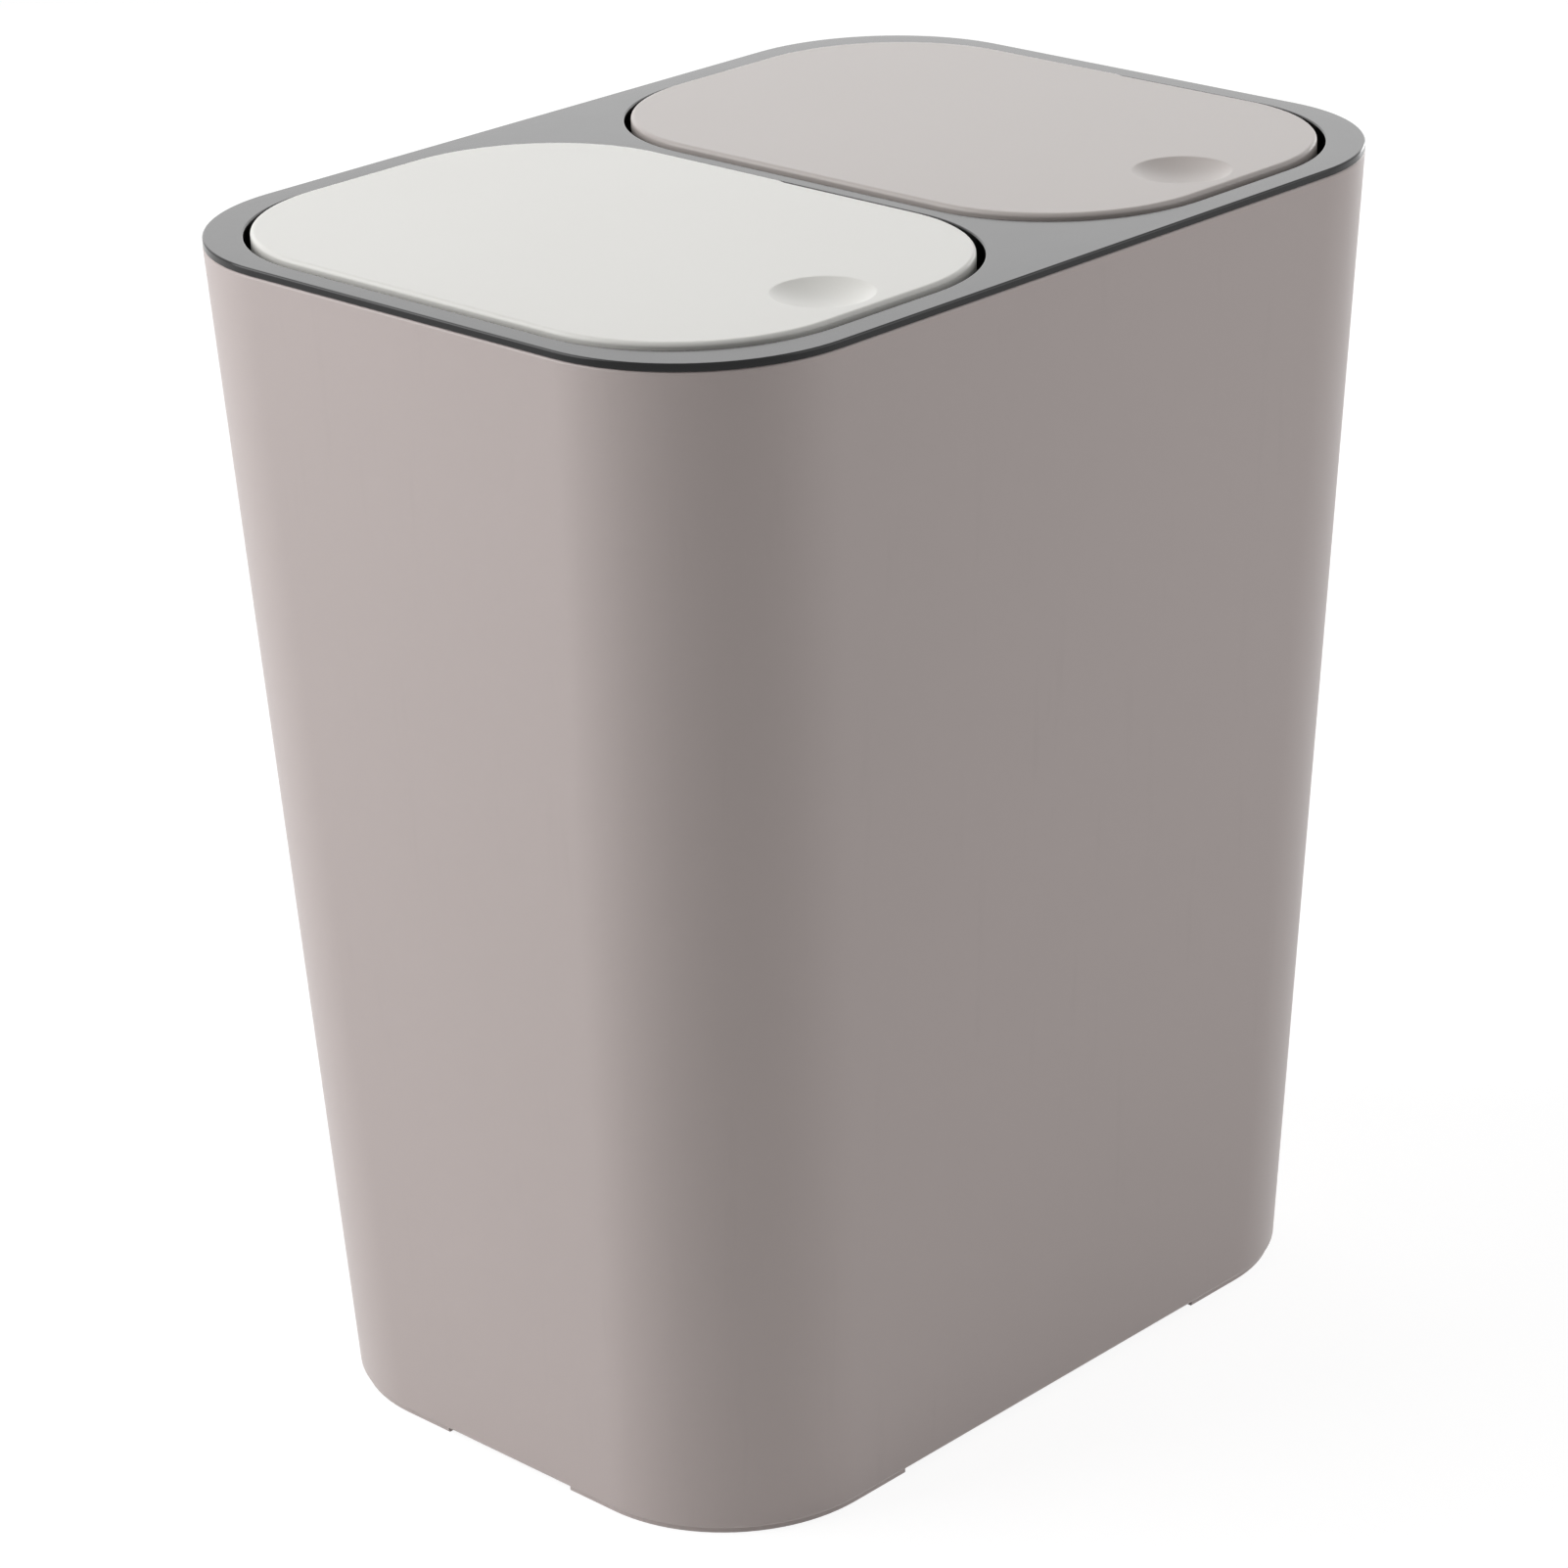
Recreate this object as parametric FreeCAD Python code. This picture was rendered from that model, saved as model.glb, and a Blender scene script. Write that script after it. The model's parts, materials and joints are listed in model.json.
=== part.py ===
import FreeCAD, Part
import math
import os

# Double recycling bin: a tapered outer body, a lift-off lid frame that carries two
# push-to-swing lids, and two inner buckets with wire bails.
# Millimetres. Origin on the floor under the middle of the body, front at -Y, +Z up.

V = FreeCAD.Vector

# Outer body
BIN_HEIGHT = 340.0          # floor to the deck of the lid frame
RIM_WIDTH = 294.0           # outer size at the rim
RIM_DEPTH = 212.0
RIM_CORNER = 50.0
BASE_WIDTH = 263.0          # outer size at the lower edge
BASE_DEPTH = 179.0
BASE_CORNER = 48.0
BODY_WALL = 2.2
BODY_FLOOR = 2.4
BASE_EDGE_ROUND = 1.5       # rounding of the lower edge
FOOT_HEIGHT = 1.6           # corner lips that the bin stands on
FOOT_INSET = 1.1
FOOT_BAND = 7.0             # width of a corner lip
FOOT_GAP_X = 126.0          # lip-free length in the middle of a long side
FOOT_GAP_Y = 49.0           # lip-free length in the middle of a short side
KEEL_HEIGHT = 9.0           # floor rib that keeps the two buckets apart
KEEL_WIDTH = 2.0

# Lid frame
EDGE_HEIGHT = 3.2           # black band between the body's rim and the deck
EDGE_ROUND = 1.5
DECK_WALL = 2.4
PLUG_WALL = 2.2             # skirt that plugs into the mouth of the body
PLUG_DEPTH = 18.0           # below the deck
PLUG_CLEARANCE = 0.3
DECK_SIDE = 7.0             # strip of deck outside an opening, at the bin's sides
DECK_END = 8.5              # the same at the front and the rear
BRIDGE = 5.0                # bar between the two openings
OPENING_CORNER = 45.5
OPENING_ROUND = 0.6
COLLAR_WALL = 2.4
COLLAR_DEPTH = 14.0         # below the deck
BAR_PAST_STRAIGHT = 8.0     # the bar under the bridge runs into the curved stretches

# Lids
LID_GAP = 2.0               # all round, to the opening
LID_PROUD = 1.3             # lid top above the deck
LID_WALL = 2.0
SKIRT_WALL = 1.6
SKIRT_DEPTH = 9.0
SHOULDER = 1.5
JOG = 0.7                   # the front half of one side stands back by this much
JOG_ROUND = 6.0
THUMB_DIAMETER = 27.0
THUMB_DEPTH = 3.0
THUMB_FROM_FRONT = 17.5     # recess centre to the lid's front edge
RIB_WALL = 1.4
RIB_DEPTH = 4.0
RIB_SPACING = 62.0
BEAM_WALL = 1.8             # rib that joins the two pivots
LEDGE_REACH = 3.0           # stop under the rear skirt
LEDGE_LENGTH = 40.0
LEDGE_THICKNESS = 2.0
LEDGE_CLEARANCE = 0.3

# Pivots
PIVOT_DROP = 7.0            # pivot axis below the deck
PIN_RADIUS = 3.0
PIN_CLEARANCE = 0.06
PIN_REACH = 2.0             # how far a pin of the frame runs into a lid's ear
PIN_LEAD = 0.4              # chamfer on the pin's end
EAR_RADIUS = 5.0
EAR_WALL = 3.0
PIN_BLOCK_HALF = 6.5        # half length of the block behind a pin

# Counterweight under the rear half of each lid
WEIGHT_LENGTH = 80.0
WEIGHT_WIDTH = 16.0
WEIGHT_THICKNESS = 4.0
WEIGHT_FROM_REAR = 17.0     # bar centre to the lid's rear edge
WEIGHT_CORNER = 1.5
POCKET_WALL = 1.4
HOOK_LENGTH = 10.0
HOOK_LIP = 1.0
HOOK_HEIGHT = 1.4
POCKET_CLEARANCE = 0.1

# Inner buckets
BUCKET_DROP = 24.0          # rim below the deck
BUCKET_WALL = 1.6
BUCKET_FLOOR = 1.8
BUCKET_CLEARANCE = 0.8      # to the body
BUCKET_APART = 0.8          # between the two buckets at the rim
BUCKET_DRAFT = 2.4          # how far the inner side leans in, rim to floor
BUCKET_FOOT_ROUND = 4.0
LUG_HALF = 6.0              # half length of a bail lug along the side
LUG_RISE = 5.2              # above the bucket's rim
LUG_DROP = 14.0
LUG_WALL = 1.4

# Bails
WIRE_RADIUS = 1.0
WIRE_ABOVE_RIM = 0.4        # gap between the lying wire and the rim
WIRE_BEND = 42.0
WIRE_PLAY = 0.05
WIRE_LUG_GAP = 0.1
WIRE_INSIDE = 0.15          # wire's outer side, inside the bucket's outer face
GRIP_RADIUS = 4.0
GRIP_LENGTH = 50.0
GRIP_CLEARANCE = 0.5
GRIP_PLAY = 0.05

OVERSHOOT = 1.0             # how far a cutting box runs past what it cuts
NEAR = 0.01                 # two places closer than this are the same

# Worked out from the sizes above
DECK_Z = BIN_HEIGHT
RIM_Z = BIN_HEIGHT - EDGE_HEIGHT
FLOOR_Z = FOOT_HEIGHT + BODY_FLOOR
PIVOT_Z = DECK_Z - PIVOT_DROP
LID_TOP_Z = DECK_Z + LID_PROUD
LID_UNDER_Z = LID_TOP_Z - LID_WALL
SKIRT_Z = LID_TOP_Z - SKIRT_DEPTH
OPENING_WIDTH = RIM_WIDTH / 2 - DECK_SIDE - BRIDGE / 2
OPENING_DEPTH = RIM_DEPTH - 2 * DECK_END
OPENING_X = BRIDGE / 2 + OPENING_WIDTH / 2
LID_HALF_WIDTH = OPENING_WIDTH / 2 - LID_GAP
LID_HALF_DEPTH = OPENING_DEPTH / 2 - LID_GAP
LID_CORNER = OPENING_CORNER - LID_GAP
BUCKET_TOP = DECK_Z - BUCKET_DROP
WIRE_ELBOW = WIRE_RADIUS + WIRE_LUG_GAP
WIRE_Z = BUCKET_TOP + WIRE_ABOVE_RIM + WIRE_RADIUS


def blend(z, at_base, at_rim):
    """A size of the tapered body at height z."""
    share = (z - FOOT_HEIGHT) / (RIM_Z - FOOT_HEIGHT)
    return at_base + (at_rim - at_base) * share


def half_width(z):
    return blend(z, BASE_WIDTH, RIM_WIDTH) / 2


def half_depth(z):
    return blend(z, BASE_DEPTH, RIM_DEPTH) / 2


def corner(z):
    return blend(z, BASE_CORNER, RIM_CORNER)


def rounded_wire(x0, x1, y0, y1, radius, z):
    """Closed wire round a rectangle with four equal round corners."""
    edges = []
    corners = [(x1, y0, -90), (x1, y1, 0), (x0, y1, 90), (x0, y0, 180)]
    ends = []
    for x, y, start in corners:
        centre = V(x - radius if x == x1 else x + radius, y - radius if y == y1 else y + radius, z)
        points = [centre + radius * V(math.cos(a), math.sin(a), 0)
                  for a in (math.radians(start + step) for step in (0, 45, 90))]
        ends.append(points)
    for index, points in enumerate(ends):
        edges.append(Part.Arc(*points).toShape())
        edges.append(Part.LineSegment(points[2], ends[(index + 1) % 4][0]).toShape())
    return Part.Wire(edges)


def body_wire(z, inset=0.0):
    """Outline of the tapered body at height z, moved inwards by inset."""
    x = half_width(z) - inset
    y = half_depth(z) - inset
    return rounded_wire(-x, x, -y, y, corner(z) - inset, z)


def loft(lower, upper):
    return Part.makeLoft([lower, upper], True, True)


def prism(wire, height):
    return Part.Face(wire).extrude(V(0, 0, height))


def box(x0, x1, y0, y1, z0, z1):
    return Part.makeBox(x1 - x0, y1 - y0, z1 - z0, V(x0, y0, z0))


def rod(start, direction, radius, length):
    return Part.makeCylinder(radius, length, start, direction)


def edges_at(solid, z):
    """Edges that lie whole in the plane at height z."""
    return [edge for edge in solid.Edges
            if abs(edge.BoundBox.ZMin - z) < NEAR and abs(edge.BoundBox.ZMax - z) < NEAR]


def save(name, shape):
    print(name, "valid" if shape.isValid() else "INVALID", len(shape.Solids), round(shape.Volume))
    shape.exportStep(os.path.join("parts", name + ".step"))


# ---------------------------------------------------------------- outer body

def corner_feet():
    """Four lips that follow the lower corners."""
    outline = body_wire(FOOT_HEIGHT, FOOT_INSET)
    inner = body_wire(FOOT_HEIGHT, FOOT_INSET + FOOT_BAND)
    ring = prism(outline, -FOOT_HEIGHT).cut(prism(inner, -FOOT_HEIGHT))
    x = half_width(FOOT_HEIGHT)
    y = half_depth(FOOT_HEIGHT)
    top = FOOT_HEIGHT + OVERSHOOT
    gap_x = box(-FOOT_GAP_X / 2, FOOT_GAP_X / 2, -y, y, -OVERSHOOT, top)
    gap_y = box(-x, x, -FOOT_GAP_Y / 2, FOOT_GAP_Y / 2, -OVERSHOOT, top)
    return ring.cut(gap_x).cut(gap_y)


def outer_body():
    shell = loft(body_wire(FOOT_HEIGHT), body_wire(RIM_Z))
    shell = shell.makeFillet(BASE_EDGE_ROUND, edges_at(shell, FOOT_HEIGHT))
    over = RIM_Z + OVERSHOOT
    shell = shell.cut(loft(body_wire(FLOOR_Z, BODY_WALL), body_wire(over, BODY_WALL)))
    reach = half_depth(FLOOR_Z) - BODY_WALL / 2
    keel = box(-KEEL_WIDTH / 2, KEEL_WIDTH / 2, -reach, reach, FLOOR_Z - BODY_FLOOR / 2,
               FLOOR_Z + KEEL_HEIGHT)
    return shell.fuse([keel, corner_feet()]).removeSplitter()


# ---------------------------------------------------------------- lid frame

def opening_wire(side, z, grow=0.0):
    x = side * OPENING_X
    half = OPENING_WIDTH / 2 + grow
    deep = OPENING_DEPTH / 2 + grow
    return rounded_wire(x - half, x + half, -deep, deep, OPENING_CORNER + grow, z)


def plug():
    """Tapered skirt that drops into the mouth of the body, rooted in the deck."""
    low = DECK_Z - PLUG_DEPTH
    root = DECK_Z - DECK_WALL / 2
    outer = BODY_WALL + PLUG_CLEARANCE
    inner = outer + PLUG_WALL
    skirt = loft(body_wire(low, outer), body_wire(root, outer))
    return skirt.cut(loft(body_wire(low, inner), body_wire(root, inner)))


def pin_block(x0, x1):
    """Block between collar and plug that backs a pin at the bin's side."""
    return box(x0, x1, -PIN_BLOCK_HALF, PIN_BLOCK_HALF, DECK_Z - COLLAR_DEPTH, DECK_Z - DECK_WALL)


def hinge_pin(side, toward):
    """Pin on an opening's side wall that a lid's ear turns on; toward is its end of the opening."""
    wall = OPENING_WIDTH / 2
    tip = LID_HALF_WIDTH - PIN_REACH
    if toward > 0:
        tip -= JOG
    root = V(side * OPENING_X + toward * (wall + COLLAR_WALL / 2), 0, PIVOT_Z)
    length = wall + COLLAR_WALL / 2 - tip
    pin = rod(root, V(-toward, 0, 0), PIN_RADIUS, length)
    end = side * OPENING_X + toward * tip
    rims = [edge for edge in pin.Edges
            if abs(edge.BoundBox.XMin - end) < NEAR and edge.BoundBox.XLength < NEAR]
    return pin.makeChamfer(PIN_LEAD, rims)


def stop_ledge(side):
    """Ledge on the rear of a collar, under the lid's rear skirt."""
    rear = OPENING_DEPTH / 2 + COLLAR_WALL / 2
    top = SKIRT_Z - LEDGE_CLEARANCE
    x = side * OPENING_X
    reach = COLLAR_WALL / 2 + LID_GAP + LEDGE_REACH
    return box(x - LEDGE_LENGTH / 2, x + LEDGE_LENGTH / 2, rear - reach, rear, top - LEDGE_THICKNESS, top)


def deck_plate():
    """Top plate with its edge band and the two rounded openings."""
    deck = prism(body_wire(RIM_Z), EDGE_HEIGHT)
    deck = deck.makeFillet(EDGE_ROUND, edges_at(deck, DECK_Z))
    thinned = body_wire(RIM_Z, BODY_WALL + PLUG_CLEARANCE + PLUG_WALL / 2)
    deck = deck.cut(prism(thinned, EDGE_HEIGHT - DECK_WALL))
    for side in (-1, 1):
        deck = deck.cut(prism(opening_wire(side, RIM_Z), EDGE_HEIGHT))
    rims = [edge for edge in edges_at(deck, DECK_Z) if inside_openings(edge)]
    return deck.makeFillet(OPENING_ROUND, rims)


def collar(side):
    low = DECK_Z - COLLAR_DEPTH
    height = COLLAR_DEPTH - DECK_WALL / 2
    return prism(opening_wire(side, low, COLLAR_WALL), height)


def bridge_bar():
    """Solid bar under the bridge, which joins the two collars."""
    y = OPENING_DEPTH / 2 - OPENING_CORNER + BAR_PAST_STRAIGHT
    return box(-BRIDGE / 2, BRIDGE / 2, -y, y, DECK_Z - COLLAR_DEPTH, DECK_Z - DECK_WALL / 2)


def lid_frame():
    low = DECK_Z - COLLAR_DEPTH
    outside = half_width(RIM_Z) - BODY_WALL - PLUG_CLEARANCE - PLUG_WALL / 2
    blocks = [bridge_bar(), pin_block(-outside, -OPENING_X), pin_block(OPENING_X, outside)]
    under = plug().fuse([collar(-1), collar(1)] + blocks)
    for side in (-1, 1):
        under = under.cut(prism(opening_wire(side, low - PLUG_DEPTH), 2 * PLUG_DEPTH + COLLAR_DEPTH))
    pins = [hinge_pin(side, toward) for side in (-1, 1) for toward in (-1, 1)]
    return deck_plate().fuse([under, stop_ledge(-1), stop_ledge(1)] + pins)


def inside_openings(edge):
    """True for the edges round the two lid openings, not those round the deck."""
    reach = OPENING_X + OPENING_WIDTH / 2 + OPENING_ROUND
    deep = OPENING_DEPTH / 2 + OPENING_ROUND
    bounds = edge.BoundBox
    return max(-bounds.XMin, bounds.XMax) < reach and max(-bounds.YMin, bounds.YMax) < deep


# ---------------------------------------------------------------- lids

def arc_points(centre, radius, start, end):
    angles = [math.radians(start + (end - start) * share) for share in (0, 0.5, 1)]
    return [centre + radius * V(math.cos(a), math.sin(a), 0) for a in angles]


def lid_wire(z, inset=0.0):
    """Rounded outline with a small jog half way along its right-hand side."""
    w = LID_HALF_WIDTH - inset
    d = LID_HALF_DEPTH - inset
    r = LID_CORNER - inset
    turn = math.degrees(math.acos(1 - JOG / 2 / JOG_ROUND))
    rise = JOG_ROUND * math.sin(math.radians(turn))
    low = V(LID_HALF_WIDTH - JOG + JOG_ROUND, -rise, z)
    high = V(LID_HALF_WIDTH - JOG_ROUND, rise, z)
    arcs = [arc_points(V(w - JOG - r, r - d, z), r, -90, 0),
            arc_points(low, JOG_ROUND + inset, 180, 180 - turn),
            arc_points(high, JOG_ROUND - inset, -turn, 0),
            arc_points(V(w - r, d - r, z), r, 0, 90),
            arc_points(V(r - w, d - r, z), r, 90, 180),
            arc_points(V(r - w, r - d, z), r, 180, 270)]
    edges = []
    for index, points in enumerate(arcs):
        edges.append(Part.Arc(*points).toShape())
        following = arcs[(index + 1) % len(arcs)][0]
        if points[2].distanceToPoint(following) > NEAR:
            edges.append(Part.LineSegment(points[2], following).toShape())
    return Part.Wire(edges)


def thumb_y():
    return THUMB_FROM_FRONT - LID_HALF_DEPTH


def thumb_ball(extra):
    """Ball whose cap makes the round thumb recess."""
    half = THUMB_DIAMETER / 2
    radius = (half * half + THUMB_DEPTH * THUMB_DEPTH) / (2 * THUMB_DEPTH)
    return Part.makeSphere(radius + extra, V(0, thumb_y(), LID_TOP_Z - THUMB_DEPTH + radius))


def weight_y():
    return LID_HALF_DEPTH - WEIGHT_FROM_REAR


def lid_ribs():
    """Pivot beam, two long ribs and the pocket for the counterweight."""
    half = WEIGHT_LENGTH / 2 + POCKET_CLEARANCE
    deep = WEIGHT_WIDTH / 2 + POCKET_CLEARANCE
    y = weight_y()
    low = LID_UNDER_Z - WEIGHT_THICKNESS - HOOK_HEIGHT
    reach = LID_HALF_WIDTH - JOG - SKIRT_WALL / 2
    front = thumb_y() + THUMB_DIAMETER / 2
    high = LID_UNDER_Z + LID_WALL / 2
    parts = [box(-reach, reach, -BEAM_WALL / 2, BEAM_WALL / 2, PIVOT_Z - BEAM_WALL, high)]
    for x in (-RIB_SPACING / 2, RIB_SPACING / 2):
        parts.append(box(x - RIB_WALL / 2, x + RIB_WALL / 2, front, y - deep,
                         LID_UNDER_Z - RIB_DEPTH, high))
    tray = box(-half - POCKET_WALL, half + POCKET_WALL, y - deep - POCKET_WALL,
               y + deep + POCKET_WALL, low, high)
    tray = tray.cut(box(-half, half, y - deep, y + deep, low, LID_UNDER_Z))
    for side in (-1, 1):
        start = y + side * (deep + POCKET_WALL / 2)
        end = y + side * (deep - HOOK_LIP)
        parts.append(box(-HOOK_LENGTH / 2, HOOK_LENGTH / 2, min(start, end), max(start, end),
                         low, low + HOOK_HEIGHT))
    return parts + [tray]


def ear_root(side):
    """Inner face of the ear on one side of a lid, a wall's thickness inside its skirt."""
    face = LID_HALF_WIDTH
    if side > 0:
        face -= JOG
    return V(side * (face - EAR_WALL), 0, PIVOT_Z)


def ear(side):
    return rod(ear_root(side), V(side, 0, 0), EAR_RADIUS, EAR_WALL)


def ear_bore(side):
    """Hole through ear and skirt, in which a pin of the frame runs."""
    return rod(ear_root(side), V(side, 0, 0), PIN_RADIUS + PIN_CLEARANCE, EAR_WALL + OVERSHOOT)


def lid(side):
    cap = prism(lid_wire(SKIRT_Z), SKIRT_DEPTH)
    cap = cap.makeFillet(SHOULDER, edges_at(cap, LID_TOP_Z))
    cap = cap.cut(prism(lid_wire(SKIRT_Z, SKIRT_WALL), SKIRT_DEPTH - LID_WALL))
    bulge = thumb_ball(LID_WALL).common(prism(lid_wire(SKIRT_Z, SKIRT_WALL), SKIRT_DEPTH - LID_WALL / 2))
    cap = cap.fuse([bulge, ear(-1), ear(1)] + lid_ribs())
    cap = cap.cut([thumb_ball(0), ear_bore(-1), ear_bore(1)]).removeSplitter()
    cap.translate(V(side * OPENING_X, 0, 0))
    return cap


def counterweight(side):
    x = WEIGHT_LENGTH / 2
    y = WEIGHT_WIDTH / 2
    bar = prism(rounded_wire(-x, x, -y, y, WEIGHT_CORNER, LID_UNDER_Z - WEIGHT_THICKNESS), WEIGHT_THICKNESS)
    bar.translate(V(side * OPENING_X, weight_y(), 0))
    return bar


# ---------------------------------------------------------------- inner buckets

def bucket_sides(z, inset=0.0):
    """Inner, outer and half-depth coordinates of a right-hand bucket at height z."""
    lean = BUCKET_DRAFT * (BUCKET_TOP - z) / (BUCKET_TOP - FLOOR_Z)
    gap = BODY_WALL + BUCKET_CLEARANCE + inset
    return BUCKET_APART / 2 + lean + inset, half_width(z) - gap, half_depth(z) - gap


def bucket_wire(z, inset=0.0):
    x0, x1, y = bucket_sides(z, inset)
    radius = corner(z) - BODY_WALL - BUCKET_CLEARANCE - inset
    return rounded_wire(x0, x1, -y, y, radius, z)


def wire_x():
    """Where the bail's two arms lie over a right-hand bucket's rim."""
    x0, x1, y = bucket_sides(BUCKET_TOP)
    inside = WIRE_INSIDE + WIRE_RADIUS
    return x0 + inside, x1 - inside


def lug(arm_x, toward):
    """Bail lug: a tab above the rim, on a pad that thickens the wall below it."""
    near = arm_x + toward * (WIRE_RADIUS + WIRE_LUG_GAP)
    far = near + toward * LUG_WALL
    tab = box(min(near, far), max(near, far), -LUG_HALF, LUG_HALF, BUCKET_TOP - LUG_DROP,
              BUCKET_TOP + LUG_RISE)
    corners = [edge for edge in tab.Edges if edge.BoundBox.XLength > LUG_WALL - NEAR
               and edge.BoundBox.ZMin > BUCKET_TOP]
    tab = tab.makeFillet(LUG_HALF / 2, corners)
    wall = arm_x - toward * (WIRE_INSIDE + WIRE_RADIUS - BUCKET_WALL / 2)
    pad = box(min(wall, near), max(wall, near), -LUG_HALF, LUG_HALF, BUCKET_TOP - LUG_DROP, BUCKET_TOP)
    return tab.fuse(pad)


def bucket():
    """Right-hand bucket. The left-hand one is its mirror image."""
    shell = loft(bucket_wire(FLOOR_Z), bucket_wire(BUCKET_TOP))
    shell = shell.makeFillet(BUCKET_FOOT_ROUND, edges_at(shell, FLOOR_Z))
    inner_floor = FLOOR_Z + BUCKET_FLOOR
    cavity = loft(bucket_wire(inner_floor, BUCKET_WALL), bucket_wire(BUCKET_TOP, BUCKET_WALL))
    cavity = cavity.makeFillet(BUCKET_FOOT_ROUND - BUCKET_WALL, edges_at(cavity, inner_floor))
    shell = shell.cut(cavity)
    inner_x, outer_x = wire_x()
    shell = shell.fuse([lug(inner_x, 1), lug(outer_x, -1)]).removeSplitter()
    hole = rod(V(inner_x, 0, WIRE_Z), V(1, 0, 0), WIRE_RADIUS + WIRE_PLAY, outer_x - inner_x)
    return shell.cut(hole)


def grip_y():
    x0, x1, y = bucket_sides(BUCKET_TOP, BUCKET_WALL)
    return y - GRIP_CLEARANCE - GRIP_RADIUS


def bail_wire():
    """Steel wire: pin, elbow, arm, round corner, grip bar, and the same back again."""
    x0, x1 = wire_x()
    y = grip_y()
    reach = WIRE_RADIUS + WIRE_LUG_GAP + LUG_WALL
    e = WIRE_ELBOW
    r = WIRE_BEND
    diagonal = math.sqrt(0.5)
    edges = []

    def line(a, b):
        edges.append(Part.LineSegment(V(*a, WIRE_Z), V(*b, WIRE_Z)).toShape())

    def arc(a, m, b):
        edges.append(Part.Arc(V(*a, WIRE_Z), V(*m, WIRE_Z), V(*b, WIRE_Z)).toShape())

    line((x0 + reach, 0), (x0 + e, 0))
    arc((x0 + e, 0), (x0 + e * (1 - diagonal), e * (1 - diagonal)), (x0, e))
    line((x0, e), (x0, y - r))
    arc((x0, y - r), (x0 + r * (1 - diagonal), y - r * (1 - diagonal)), (x0 + r, y))
    line((x0 + r, y), (x1 - r, y))
    arc((x1 - r, y), (x1 - r * (1 - diagonal), y - r * (1 - diagonal)), (x1, y - r))
    line((x1, y - r), (x1, e))
    arc((x1, e), (x1 - e * (1 - diagonal), e * (1 - diagonal)), (x1 - e, 0))
    line((x1 - e, 0), (x1 - reach, 0))
    path = Part.Wire(edges)
    ring = Part.Circle(V(x0 + reach, 0, WIRE_Z), V(1, 0, 0), WIRE_RADIUS).toShape()
    return path.makePipeShell([Part.Wire(ring)], True, False)


def grip():
    x0, x1 = wire_x()
    start = V((x0 + x1 - GRIP_LENGTH) / 2, grip_y(), WIRE_Z)
    sleeve = rod(start, V(1, 0, 0), GRIP_RADIUS, GRIP_LENGTH)
    sleeve = sleeve.makeFillet(GRIP_RADIUS / 4, [e for e in sleeve.Edges if e.BoundBox.XLength < NEAR])
    return sleeve.cut(rod(start, V(1, 0, 0), WIRE_RADIUS + GRIP_PLAY, GRIP_LENGTH))


def mirrored(shape, side):
    return shape if side > 0 else shape.mirror(V(0, 0, 0), V(1, 0, 0))


def main():
    os.makedirs("parts", exist_ok=True)
    save("outer_body", outer_body())
    save("lid_frame", lid_frame())
    for name, side in (("left", -1), ("right", 1)):
        save(name + "_lid", lid(side))
        save(name + "_lid_counterweight", counterweight(side))
        save(name + "_inner_bucket", mirrored(bucket(), side))
        save(name + "_bail_wire", mirrored(bail_wire(), side))
        save(name + "_bail_grip", mirrored(grip(), side))


main()
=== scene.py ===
import json
import math

import bmesh
import bpy
from mathutils import Matrix, Vector


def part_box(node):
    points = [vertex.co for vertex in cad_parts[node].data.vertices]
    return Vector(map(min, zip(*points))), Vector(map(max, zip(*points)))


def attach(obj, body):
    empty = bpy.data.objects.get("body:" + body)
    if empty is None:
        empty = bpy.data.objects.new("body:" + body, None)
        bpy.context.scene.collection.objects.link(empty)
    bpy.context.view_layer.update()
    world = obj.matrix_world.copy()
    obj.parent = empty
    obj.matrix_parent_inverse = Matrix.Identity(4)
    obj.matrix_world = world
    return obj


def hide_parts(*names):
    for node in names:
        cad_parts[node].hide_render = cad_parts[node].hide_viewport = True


# Double recycling bin: a tapered body, a gloss black lid frame with two push-to-swing lids,
# and two inner buckets with wire bails. Metres, with the frame's own origin and axes.

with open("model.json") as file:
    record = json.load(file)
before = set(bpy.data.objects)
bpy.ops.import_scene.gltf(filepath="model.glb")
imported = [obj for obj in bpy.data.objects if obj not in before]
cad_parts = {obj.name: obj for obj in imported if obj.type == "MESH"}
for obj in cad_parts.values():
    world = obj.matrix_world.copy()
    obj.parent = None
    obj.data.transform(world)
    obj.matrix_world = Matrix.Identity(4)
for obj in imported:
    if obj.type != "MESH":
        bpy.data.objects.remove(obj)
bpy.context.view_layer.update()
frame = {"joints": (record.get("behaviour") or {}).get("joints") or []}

bl_info = {
    "name": "Double recycling bin",
    "version": (1, 0, 0),
    "blender": (4, 5, 0),
    "location": "View3D > Sidebar > Bin",
    "description": "Builds the visible pieces of a double recycling bin round its packed frame",
    "category": "Add Mesh",
}

MM = 0.001
SIDES = (("left", -1), ("right", 1))

JOINTS = {joint["name"]: joint for joint in frame["joints"]}
PIVOT = Vector(JOINTS["right_lid_swing"]["pos_m"])
BAIL_PIVOT = Vector(JOINTS["right_bail_swing"]["pos_m"])
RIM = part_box("outer_body")[1]
PLUG_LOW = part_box("lid_frame")[0].z
DECK_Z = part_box("lid_frame")[1].z
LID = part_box("right_lid")[1]
BUCKET_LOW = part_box("right_inner_bucket")[0].z
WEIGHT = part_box("right_lid_counterweight")
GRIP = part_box("right_bail_grip")
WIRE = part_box("right_bail_wire")

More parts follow.
